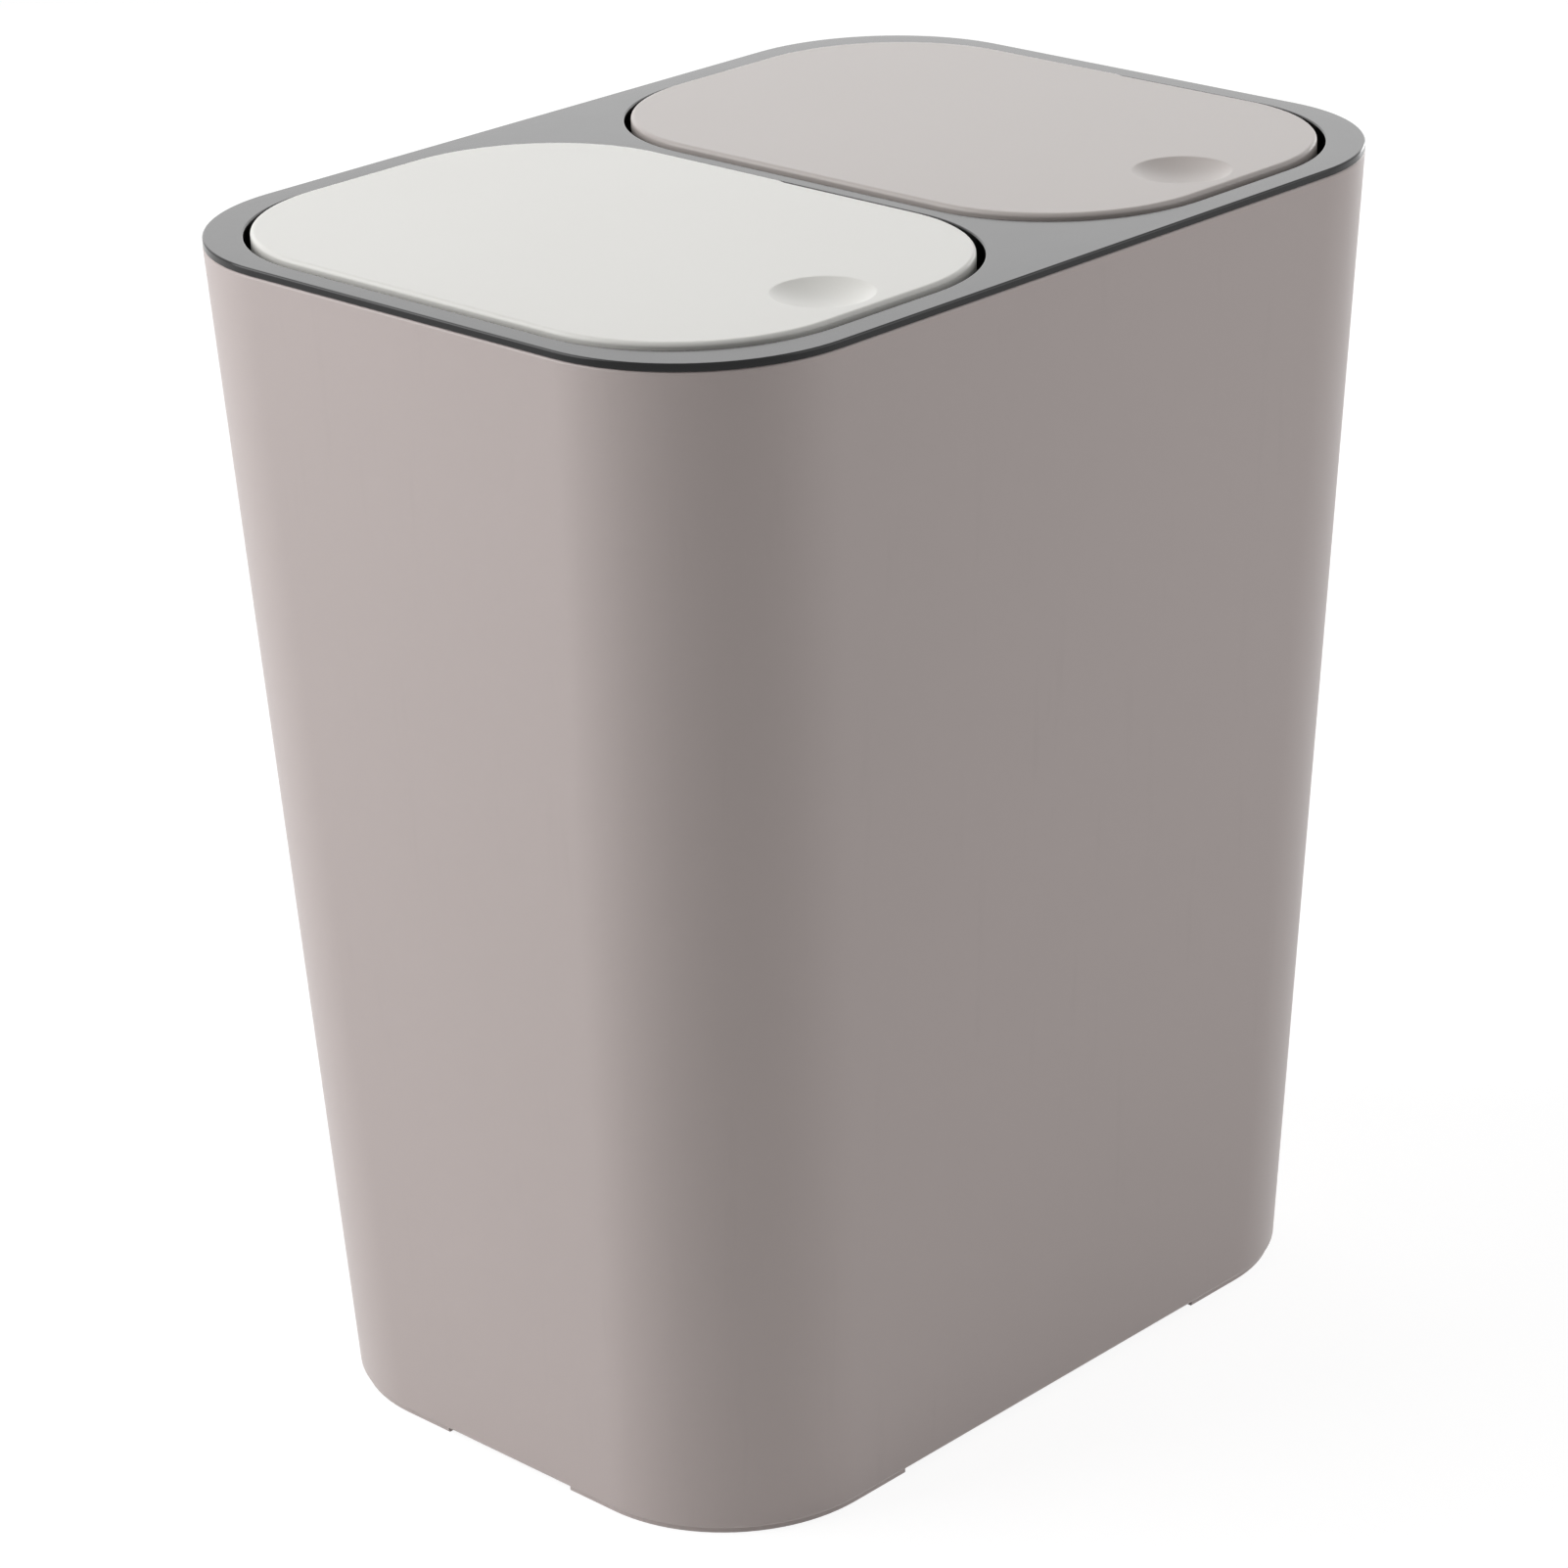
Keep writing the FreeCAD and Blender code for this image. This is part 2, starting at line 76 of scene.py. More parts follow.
CORNER_STEPS = 24       # segments in a quarter turn of an outline
RUN_STEPS = 6           # segments in a straight run of an outline
ROUND_STEPS = 6         # segments in a rounded edge
CIRCLE_STEPS = 64       # segments in a full circle
SLEEVE_STEPS = 48       # segments round a pin and round a grip
LUG_STEPS = 12          # segments in a lug's rounded corner
WEIGHT_STEPS = 8        # segments in a counterweight's rounded corner
DISH_STEPS = 14         # rows of a thumb recess inside its soft rim
WIRE_STEPS = 28         # segments round a wire
BEND_STEPS = 20         # segments in a wire's bend
RIDGE_STEPS = 12        # segments round a finger ridge
SMOOTH_ANGLE = 38.0     # edges sharper than this stay crisp, in degrees
SAME_PLACE = 1e-6       # points nearer than this are one, in metres
WIRE_BORE = 1.05        # radius of a bore round a wire, in radii of the wire
EAR_BORE_REACH = 1.1    # how far a bore runs in behind an ear's face, in ear walls
PP_IOR = 1.49           # refractive index of polypropylene
GLOSS_IOR = 1.38        # below the usual 1.54 of ABS, matched to how dark the deck looks


def linear(hex_colour):
    """An sRGB hex colour as the linear values that shaders take."""
    channels = [int(hex_colour[i:i + 2], 16) / 255 for i in (1, 3, 5)]
    return tuple(c / 12.92 if c <= 0.04045 else ((c + 0.055) / 1.055) ** 2.4 for c in channels) + (1.0,)


def per_mm(size):
    """Texture scale at which one feature of a pattern is about size millimetres long."""
    return 1 / (size * MM)


# ------------------------------------------------------------------ settings

def length(name, description, millimetres):
    return bpy.props.FloatProperty(name=name, description=description, default=millimetres * MM,
                                   min=0.0, precision=5, unit="LENGTH")


def colour(name, description, hex_colour):
    return bpy.props.FloatVectorProperty(name=name, description=description, default=linear(hex_colour),
                                         size=4, min=0.0, max=1.0, subtype="COLOR")


def number(name, description, default):
    return bpy.props.FloatProperty(name=name, description=description, default=default, min=0.0)


class BodySettings(bpy.types.PropertyGroup):
    """Sizes and colour of the outer body."""
    base_width: length("Base width", "Outer width at the lower edge", 263.0)
    base_depth: length("Base depth", "Outer depth at the lower edge", 179.0)
    base_corner: length("Base corner", "Corner radius at the lower edge", 48.0)
    rim_corner: length("Rim corner", "Corner radius at the rim", 50.0)
    wall: length("Wall", "Thickness of the wall", 2.2)
    floor: length("Floor", "Thickness of the floor", 2.4)
    foot_height: length("Foot height", "Height of the corner lips under the floor", 1.6)
    foot_inset: length("Foot inset", "How far a corner lip stands in from the outer face", 1.1)
    foot_band: length("Foot band", "Width of a corner lip", 7.0)
    foot_gap_x: length("Gap along X", "Lip-free length in the middle of a long side", 126.0)
    foot_gap_y: length("Gap along Y", "Lip-free length in the middle of a short side", 49.0)
    edge_round: length("Lower edge", "Rounding of the lower edge", 1.5)
    rim_round: length("Rim rounding", "Rounding of the rim's outer edge", 0.9)
    rim_rise: length("Rim rise", "Height of the rim above the solid's, for a thin black band", 1.2)
    keel_height: length("Keel height", "Rib on the floor that keeps the buckets apart", 9.0)
    keel_width: length("Keel width", "Thickness of the floor rib", 2.0)
    plastic: colour("Plastic", "Mauve-taupe of the moulded body", "#BDB1AF")


class FrameSettings(bpy.types.PropertyGroup):
    """Sizes and colour of the lid frame."""
    side_strip: length("Side strip", "Deck outside an opening, at the bin's sides", 7.0)
    end_strip: length("End strip", "Deck outside an opening, at the front and the rear", 8.5)
    bridge: length("Bridge", "Bar between the two openings", 5.0)
    opening_corner: length("Opening corner", "Corner radius of an opening", 50.0)
    opening_round: length("Opening rounding", "Rounding of an opening's upper edge", 0.6)
    edge_round: length("Outer rounding", "Rounding of the deck's outer edge", 0.5)
    deck_wall: length("Deck", "Thickness of the deck", 2.4)
    collar_depth: length("Collar depth", "Collar round an opening, below the deck", 14.0)
    collar_wall: length("Collar wall", "Thickness of a collar", 2.4)
    plug_gap: length("Plug gap", "Clearance between plug and body", 0.3)
    plug_wall: length("Plug wall", "Thickness of the plug skirt", 2.2)
    pin_radius: length("Pin radius", "Radius of the pins that the lids turn on", 3.0)
    pin_reach: length("Pin reach", "How far a pin runs into a lid's ear", 2.0)
    pin_lead: length("Pin lead", "Chamfer on a pin's end", 0.4)
    pin_block: length("Pin block", "Half length of the block behind a pin", 6.5)
    ledge_reach: length("Ledge reach", "How far a stop ledge reaches under the lid's rear skirt", 3.0)
    ledge_length: length("Ledge length", "Length of a stop ledge", 40.0)
    ledge_height: length("Ledge height", "Thickness of a stop ledge", 2.0)
    ledge_gap: length("Ledge gap", "Gap between a stop ledge and the closed lid", 0.3)
    plastic: colour("Plastic", "Black of the gloss moulded frame", "#08080A")


class LidSettings(bpy.types.PropertyGroup):
    """Sizes and colours of the two lids."""
    gap: length("Gap", "Gap between lid and opening", 2.0)
    corner: length("Corner", "Corner radius of a lid", 47.5)
    wall: length("Wall", "Thickness of the lid's top", 2.0)
    skirt_wall: length("Skirt wall", "Thickness of the lid's skirt", 1.6)
    skirt_depth: length("Skirt depth", "Height of the lid's skirt", 9.0)
    shoulder: length("Shoulder", "Rounding of the lid's upper edge", 1.2)
    jog: length("Jog", "How far the front half of the right-hand side stands back", 0.7)
    jog_round: length("Jog rounding", "Radius of the two small bends of the jog", 6.0)
    thumb_width: length("Thumb recess", "Diameter of the round thumb recess", 27.0)
    thumb_depth: length("Thumb depth", "Depth of the thumb recess", 3.0)
    thumb_rim: length("Thumb rim", "Soft rounding of the recess's rim", 2.0)
    thumb_place: length("Thumb place", "Middle of the recess behind the lid's front edge", 17.5)
    thumb_aside: length("Thumb aside", "Middle of the recess to the left of the lid's middle", 2.0)
    ear_bore: length("Ear bore", "Radius of the hole that a pin of the frame runs in", 3.06)
    rib_wall: length("Rib wall", "Thickness of the ribs underneath", 1.4)
    rib_depth: length("Rib depth", "Height of the ribs underneath", 4.0)
    rib_spacing: length("Rib spacing", "Distance between the two long ribs", 62.0)
    ear_radius: length("Ear radius", "Radius of the ear round a pin", 5.0)
    ear_wall: length("Ear", "Thickness of an ear", 3.0)
    pocket_gap: length("Pocket gap", "Gap between the counterweight and its pocket", 0.1)
    hook_length: length("Hook length", "Length of a hook that holds the counterweight", 10.0)
    hook_lip: length("Hook lip", "How far a hook reaches under the counterweight", 1.0)
    hook_height: length("Hook height", "Thickness of a hook", 1.4)
    weight_corner: length("Weight corner", "Corner radius of the counterweight", 1.5)
    weight_edge: length("Weight edge", "Bevel of the counterweight's edges", 0.3)
    white: colour("White plastic", "Warm white of the left lid", "#F1F0EB")
    mauve: colour("Mauve plastic", "Mauve-grey of the right lid", "#C6BEBA")


class BucketSettings(bpy.types.PropertyGroup):
    """Sizes and colour of the inner buckets and their bails."""
    rim_drop: length("Rim drop", "Bucket rim below the deck", 24.0)
    wall: length("Wall", "Thickness of the wall", 1.6)
    floor: length("Floor", "Thickness of the floor", 1.8)
    clearance: length("Clearance", "Gap between bucket and outer body", 0.8)
    apart: length("Apart", "Gap between the two buckets at the rim", 0.8)
    draft: length("Draft", "How far the inner side leans in, rim to floor", 2.4)
    foot_round: length("Foot rounding", "Rounding of the bucket's lower edge", 4.0)
    lug_half: length("Lug", "Half length of a bail lug", 6.0)
    lug_rise: length("Lug rise", "Height of a lug above the rim", 5.2)
    lug_drop: length("Lug drop", "How far a lug's pad reaches below the rim", 14.0)
    lug_wall: length("Lug wall", "Thickness of a lug", 1.4)
    wire_radius: length("Wire radius", "Half the thickness of the bail wire", 1.0)
    wire_bend: length("Wire bend", "Radius of the bail's two wide bends", 42.0)
    wire_inside: length("Wire inside", "Wire inside the bucket's outer face", 0.15)
    lug_gap: length("Lug gap", "Gap between the wire's arm and its lug", 0.1)
    grip_ridge: length("Grip ridge", "Height of the finger ridges on a grip", 0.5)
    ridges: bpy.props.IntProperty(name="Ridges", description="Finger ridges on a grip", default=11, min=1)
    plastic: colour("Plastic", "Dark grey of the buckets and grips", "#4A4A4C")
    wire: colour("Wire", "Zinc-plated steel of the bails", "#C9CACB")
    weight: colour("Weight", "Plain steel of the counterweights", "#8E8C88")


class StageSettings(bpy.types.PropertyGroup):
    """Lamps, floor and camera."""
    left_power: number("Left lamp", "Power of the left softbox, in watts", 18.5)
    right_power: number("Right lamp", "Power of the right softbox, in watts", 7.3)
    top_power: number("Top lamp", "Power of the overhead softbox, in watts", 2.5)
    rear_power: number("Rear lamp", "Power of the wide low softbox behind, in watts", 6.2)
    rim_power: number("Rim lamp", "Power of the narrow lamp on the right-hand outline, in watts", 2.5)
    ambient: number("Ambient", "Light that comes from all sides", 0.12)
    glow: number("Floor glow", "Light of the floor where it is seen or mirrored", 0.88)
    reach: number("Floor reach", "How far the floor reaches from the middle, in metres", 4.0)
    floor: colour("Floor", "Pale plain floor", "#F8F8F6")
    shade: colour("Floor shade", "Grey that takes the bin's soft shadow", "#8A8A8A")


# ------------------------------------------------------------------ outlines and meshes

def outline(arcs, run_steps=RUN_STEPS):
    """Closed outline of arcs (centre x, centre y, radius, start, end, steps), with straight runs between."""
    stretches = []
    for x, y, radius, start, end, steps in arcs:
        angles = [math.radians(start + (end - start) * step / steps) for step in range(steps + 1)]
        stretches.append([Vector((x + radius * math.cos(a), y + radius * math.sin(a))) for a in angles])
    points = []
    for index, stretch in enumerate(stretches):
        following = stretches[(index + 1) % len(stretches)][0]
        if (stretch[-1] - following).length < SAME_PLACE:
            points += stretch[:-1]
            continue
        points += stretch
        points += [stretch[-1].lerp(following, step / run_steps) for step in range(1, run_steps)]
    return points


def rounded_rectangle(x0, x1, y0, y1, radius, steps=CORNER_STEPS):
    corners = ((x1 - radius, y0 + radius, -90), (x1 - radius, y1 - radius, 0),
               (x0 + radius, y1 - radius, 90), (x0 + radius, y0 + radius, 180))
    return outline([(x, y, radius, start, start + 90, steps) for x, y, start in corners])


def circle(x, y, radius, steps=CIRCLE_STEPS):
    return outline([(x, y, radius, 0, 360, steps)])


def quarter(radius):
    """(sideways, upwards) of a rounded edge from its upright face to its level face."""
    turns = [math.pi / 2 * step / ROUND_STEPS for step in range(ROUND_STEPS + 1)]
    return [(radius * (1 - math.cos(turn)), radius * math.sin(turn)) for turn in turns]


def join(mesh, rows):
    """Makes the faces between closed rows of equally many vertices."""
    for row, following in zip(rows, rows[1:]):
        for index in range(len(row)):
            onward = (index + 1) % len(row)
            mesh.faces.new((row[index], row[onward], following[onward], following[index]))


def skin(mesh, stations):
    """Joins outlines (points, z) into one wall and gives its rows of vertices."""
    rows = [[mesh.verts.new((point.x, point.y, z)) for point in points] for points, z in stations]
    join(mesh, rows)
    return rows


def closed_skin(name, stations):
    """Object of one wall through outlines (points, z), closed at its first and its last."""
    mesh = bmesh.new()
    rows = skin(mesh, stations)
    mesh.faces.new(reversed(rows[0]))
    mesh.faces.new(rows[-1])
    return to_object(name, mesh)


def fill_level(mesh, rows, upwards):
    """Fills the level area between closed rows of vertices that already have their edges."""
    edges = []
    for row in rows:
        for vertex, following in zip(row, row[1:] + row[:1]):
            shared = [edge for edge in vertex.link_edges if edge.other_vert(vertex) is following]
            edges.append(shared[0])
    bmesh.ops.triangle_fill(mesh, use_beauty=True, edges=edges, normal=(0, 0, 1 if upwards else -1))


def block(mesh, low, high):
    """Closed box between two corners."""
    corners = [mesh.verts.new((x, y, z)) for z in (low[2], high[2]) for y in (low[1], high[1])
               for x in (low[0], high[0])]
    for face in ((0, 2, 3, 1), (4, 5, 7, 6), (0, 1, 5, 4), (2, 6, 7, 3), (0, 4, 6, 2), (1, 3, 7, 5)):
        mesh.faces.new([corners[index] for index in face])


def bar(mesh, sections):
    """Closed bar along X through outlines (x, points in y and z)."""
    rows = [[mesh.verts.new((x, point.x, point.y)) for point in points] for x, points in sections]
    join(mesh, rows)
    mesh.faces.new(reversed(rows[0]))
    mesh.faces.new(rows[-1])


def slab(mesh, points, *ends):
    """Closed prism along X of an outline in y and z."""
    bar(mesh, [(x, points) for x in sorted(ends)])


def rod(mesh, radius, z, *ends):
    """Closed round bar along X at height z."""
    slab(mesh, circle(0.0, z, radius), *ends)


def pin(mesh, root, tip, radius, lead):
    """Closed round pin along the pivot axis with a chamfered tip."""
    toward = math.copysign(1.0, tip - root)
    sizes = ((root, radius), (tip - toward * lead, radius), (tip, radius - lead))
    bar(mesh, [(x, circle(0.0, PIVOT.z, size, SLEEVE_STEPS)) for x, size in sizes])


def add_object(name, data):
    """Puts a new object with this data into the scene."""
    piece = bpy.data.objects.new(name, data)
    bpy.context.scene.collection.objects.link(piece)
    return piece


def to_object(name, mesh):
    """Object of a closed bmesh with its faces turned outwards."""
    bmesh.ops.recalc_face_normals(mesh, faces=mesh.faces)
    data = bpy.data.meshes.new(name)
    mesh.to_mesh(data)
    mesh.free()
    return add_object(name, data)


def settle(piece):
    """Turns a piece's modifiers into plain mesh."""
    bpy.context.view_layer.update()
    evaluated = piece.evaluated_get(bpy.context.evaluated_depsgraph_get())
    data = bpy.data.meshes.new_from_object(evaluated)
    data.name = piece.name
    piece.modifiers.clear()
    piece.data = data


def carve(piece, other, operation):
    """Unites a piece with another closed mesh, or cuts it away, and deletes the other."""
    modifier = piece.modifiers.new("carve", "BOOLEAN")
    modifier.solver = "EXACT"
    modifier.operation = operation
    modifier.use_self = True
    modifier.object = other
    settle(piece)
    bpy.data.objects.remove(other)


def finish_piece(piece, material, body, slot, *nodes):
    """Smooths a piece, gives it its material and ties it to the frame."""
    data = piece.data
    data.materials.clear()
    data.materials.append(material)
    data.polygons.foreach_set("material_index", [0] * len(data.polygons))
    data.polygons.foreach_set("use_smooth", [True] * len(data.polygons))
    data.set_sharp_from_angle(angle=math.radians(SMOOTH_ANGLE))
    modifier = piece.modifiers.new("even normals", "WEIGHTED_NORMAL")
    modifier.keep_sharp = True
    settle(piece)
    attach(piece, body)
    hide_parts(*nodes)


# ------------------------------------------------------------------ materials

def add_node(tree, kind, inputs=None, **settings):
    """Adds a node, with values or links for its inputs."""
    node = tree.nodes.new(kind)
    for name, value in settings.items():
        setattr(node, name, value)
    for key, value in (inputs or {}).items():
        if isinstance(value, bpy.types.NodeSocket):
            tree.links.new(value, node.inputs[key])
        else:
            node.inputs[key].default_value = value
    return node


def empty_tree(owner):
    """The node tree of a material or a world, without its nodes."""
    owner.use_nodes = True
    owner.node_tree.nodes.clear()
    return owner.node_tree


def new_material(name):
    """Material, its empty tree and its object coordinates."""
    material = bpy.data.materials.new(name)
    tree = empty_tree(material)
    return material, tree, add_node(tree, "ShaderNodeTexCoord").outputs["Object"]


def principled(material, tree, inputs):
    """Ends a material in a Principled shader with these inputs."""
    shader = add_node(tree, "ShaderNodeBsdfPrincipled", inputs)
    add_node(tree, "ShaderNodeOutputMaterial", {"Surface": shader.outputs["BSDF"]})
    return material


def noise(tree, place, size, detail, roughness=0.5):
    """Noise whose features are about size millimetres long."""
    inputs = {"Vector": place, "Scale": per_mm(size), "Detail": detail, "Roughness": roughness}
    return add_node(tree, "ShaderNodeTexNoise", inputs).outputs["Fac"]


def stretched(tree, place, scale):
    """Coordinates that draw a pattern out along the axes whose scale is small."""
    return add_node(tree, "ShaderNodeMapping", {"Vector": place, "Scale": scale}).outputs["Vector"]


def blend(tree, factor, first, second):
    """Colour that goes from the first to the second with the factor."""
    inputs = {"Factor": factor, "A": first, "B": second}
    return add_node(tree, "ShaderNodeMix", inputs, data_type="RGBA").outputs["Result"]


def shaded(colour, *shades):
    """A colour with its red, green and blue times the shades."""
    return [min(1.0, channel * shade) for channel, shade in zip(colour, shades + (1.0,))]


def spread(tree, value, low, high, start=0.0, end=1.0):
    """A value's range from start to end, mapped to the range from low to high."""
    inputs = {"Value": value, "From Min": start, "From Max": end, "To Min": low, "To Max": high}
    return add_node(tree, "ShaderNodeMapRange", inputs).outputs["Result"]


def relief(tree, height, strength, depth, **below):
    """Normal of a bump that is depth millimetres deep, on top of the Normal below it if there is one."""
    inputs = {"Height": height, "Strength": strength, "Distance": depth * MM, **below}
    return add_node(tree, "ShaderNodeBump", inputs).outputs["Normal"]


def moulded_polypropylene_body(settings):
    """Injection-moulded polypropylene, satin: soft broad highlights, a fine spark-eroded grain,
    faint rub streaks up the walls and slightly uneven colour."""
    material, tree, place = new_material("moulded_polypropylene_body")
    tint = blend(tree, noise(tree, place, size=130, detail=2.0), settings.plastic,
                 shaded(settings.plastic, 0.965, 0.975, 0.965))
    rub = noise(tree, stretched(tree, place, (1.0, 1.0, 0.09)), size=7, detail=5.0, roughness=0.62)
    worn = blend(tree, spread(tree, rub, 0.0, 0.07, start=0.6, end=0.78), tint, linear("#8F8583"))
    # The real grain is about 0.1 mm; it is drawn at 0.8 mm so that it shows.
    grain = relief(tree, noise(tree, place, size=0.8, detail=2.0), strength=0.12, depth=0.05)
    swell = relief(tree, noise(tree, place, size=45, detail=1.0), strength=0.25, depth=0.3, Normal=grain)
    return principled(material, tree, {"Base Color": worn, "IOR": PP_IOR, "Roughness": 0.4, "Normal": swell})


def gloss_black_abs(settings):
    """Gloss injection-moulded ABS: deep black that mirrors its white surroundings softly, with
    faint handling haze that varies the shine."""
    material, tree, place = new_material("gloss_black_abs")
    haze = spread(tree, noise(tree, place, size=22, detail=4.0), 0.1, 0.2)
    ripple = relief(tree, noise(tree, place, size=14, detail=2.0), strength=0.2, depth=0.1)
    return principled(material, tree, {"Base Color": settings.plastic, "IOR": GLOSS_IOR, "Roughness": haze,
                                       "Normal": ripple})


def moulded_polypropylene_lid(name, plastic):
    """Injection-moulded polypropylene with a fine satin grain: smooth, even colour and a soft shine."""
    material, tree, place = new_material(name)
    tint = blend(tree, noise(tree, place, size=70, detail=3.0), plastic, shaded(plastic, 0.975, 0.97, 0.965))
    grain = relief(tree, noise(tree, place, size=0.8, detail=2.0), strength=0.1, depth=0.05)
    return principled(material, tree, {"Base Color": tint, "IOR": PP_IOR, "Roughness": 0.38, "Normal": grain})


def moulded_polypropylene_bucket(name, plastic):
    """Injection-moulded polypropylene of an inner bucket: matt, with scuffs from bags and hands."""
    material, tree, place = new_material(name)
    scuff = noise(tree, place, size=9, detail=6.0, roughness=0.7)
    tint = blend(tree, scuff, plastic, shaded(plastic, 1.18, 1.18, 1.2))
    return principled(material, tree, {"Base Color": tint, "IOR": PP_IOR,
                                       "Roughness": spread(tree, scuff, 0.42, 0.6),
                                       "Normal": relief(tree, scuff, strength=0.15, depth=0.1)})


def drawn_steel(name, metal, streak, roughness):
    """Cold-drawn steel: metallic, with draw lines of streak millimetres that stretch the highlight."""
    material, tree, place = new_material(name)
    lines = noise(tree, stretched(tree, place, (0.05, 1.0, 1.0)), size=streak, detail=4.0)
    tint = blend(tree, lines, metal, shaded(metal, 0.82, 0.82, 0.83))
    return principled(material, tree, {"Base Color": tint, "Metallic": 1.0,
                                       "Roughness": spread(tree, lines, roughness, roughness + 0.15),
                                       "Normal": relief(tree, lines, strength=0.2, depth=0.03)})



# ------------------------------------------------------------------ the body's tapered outline

def body_section(body, z):
    """Half width, half depth and corner radius of the tapered body at height z."""
    share = (min(z, RIM.z) - body.foot_height) / (RIM.z - body.foot_height)
    return (body.base_width / 2 + (RIM.x - body.base_width / 2) * share,
            body.base_depth / 2 + (RIM.y - body.base_depth / 2) * share,
            body.base_corner + (body.rim_corner - body.base_corner) * share)


def body_outline(body, z, inset=0.0):
    """Outline of the tapered body at height z, moved inwards by inset."""
    x, y, radius = (size - inset for size in body_section(body, z))
    return rounded_rectangle(-x, x, -y, y, radius)


class BIN_OT_outer_body(bpy.types.Operator):
    """Builds the tapered outer body with its corner lips"""
    bl_idname = "bin.outer_body"
    bl_label = "Outer body"

    def execute(self, context):
        body = context.scene.bin_body
        low = body.foot_height
        floor = low + body.floor
        stations = [(side, low + body.edge_round - up) for side, up in reversed(quarter(body.edge_round))]
        rim = RIM.z + body.rim_rise
        top = rim - body.rim_round
        upright = low + body.edge_round
        stations += [(0.0, top * share + upright * (1 - share)) for share in (0.25, 0.5, 0.75)]
        stations += [(side, top + up) for side, up in quarter(body.rim_round)]
        inner_round = body.edge_round / 4
        stations += [(body.wall - side, rim - inner_round + up)
                     for side, up in reversed(quarter(inner_round))]
        stations += [(body.wall + side, floor + body.edge_round - up)
                     for side, up in quarter(body.edge_round)]
        piece = closed_skin("bin_body", [(body_outline(body, z, inset), z) for inset, z in stations])
        carve(piece, self.corner_lips(body), "UNION")
        carve(piece, self.keel(body, floor), "UNION")
        finish_piece(piece, moulded_polypropylene_body(body), "outer_body", "body_plastic", "outer_body")
        return {"FINISHED"}

    def corner_lips(self, body):
        """Ring under the lower edge, cut away in the middle of each side."""
        sink = body.floor / 2
        top = body.foot_height + sink
        round_off = body.foot_height / 3
        outer = body.foot_inset
        inner = outer + body.foot_band
        stations = [(inner, top), (inner, 0.0), (outer + round_off, 0.0)]
        stations += [(outer + side, round_off - up) for side, up in reversed(quarter(round_off))][1:]
        stations += [(outer, top), (inner, top)]
        mesh = bmesh.new()
        walls = skin(mesh, [(body_outline(body, body.foot_height, inset), z) for inset, z in stations])
        bmesh.ops.remove_doubles(mesh, verts=walls[0] + walls[-1], dist=SAME_PLACE)
        ring = to_object("lips", mesh)
        for x, y in ((body.foot_gap_x / 2, RIM.y), (RIM.x, body.foot_gap_y / 2)):
            gap = bmesh.new()
            block(gap, (-x, -y, -sink), (x, y, top + sink))
            carve(ring, to_object("gap", gap), "DIFFERENCE")
        return ring

    def keel(self, body, floor):
        """Low rib across the floor, between the two buckets."""
        reach = body_section(body, floor)[1] - body.wall / 2
        mesh = bmesh.new()
        block(mesh, (-body.keel_width / 2, -reach, floor - body.floor / 2),
              (body.keel_width / 2, reach, floor + body.keel_height))
        return to_object("keel", mesh)


# ------------------------------------------------------------------ lid frame

def opening_outline(deck, side, grow=0.0):
    """Outline of one lid opening, grown by grow."""
    half = PIVOT.x - deck.bridge / 2 + grow
    deep = RIM.y - deck.end_strip + grow
    x = side * PIVOT.x
    return rounded_rectangle(x - half, x + half, -deep, deep, deck.opening_corner + grow)


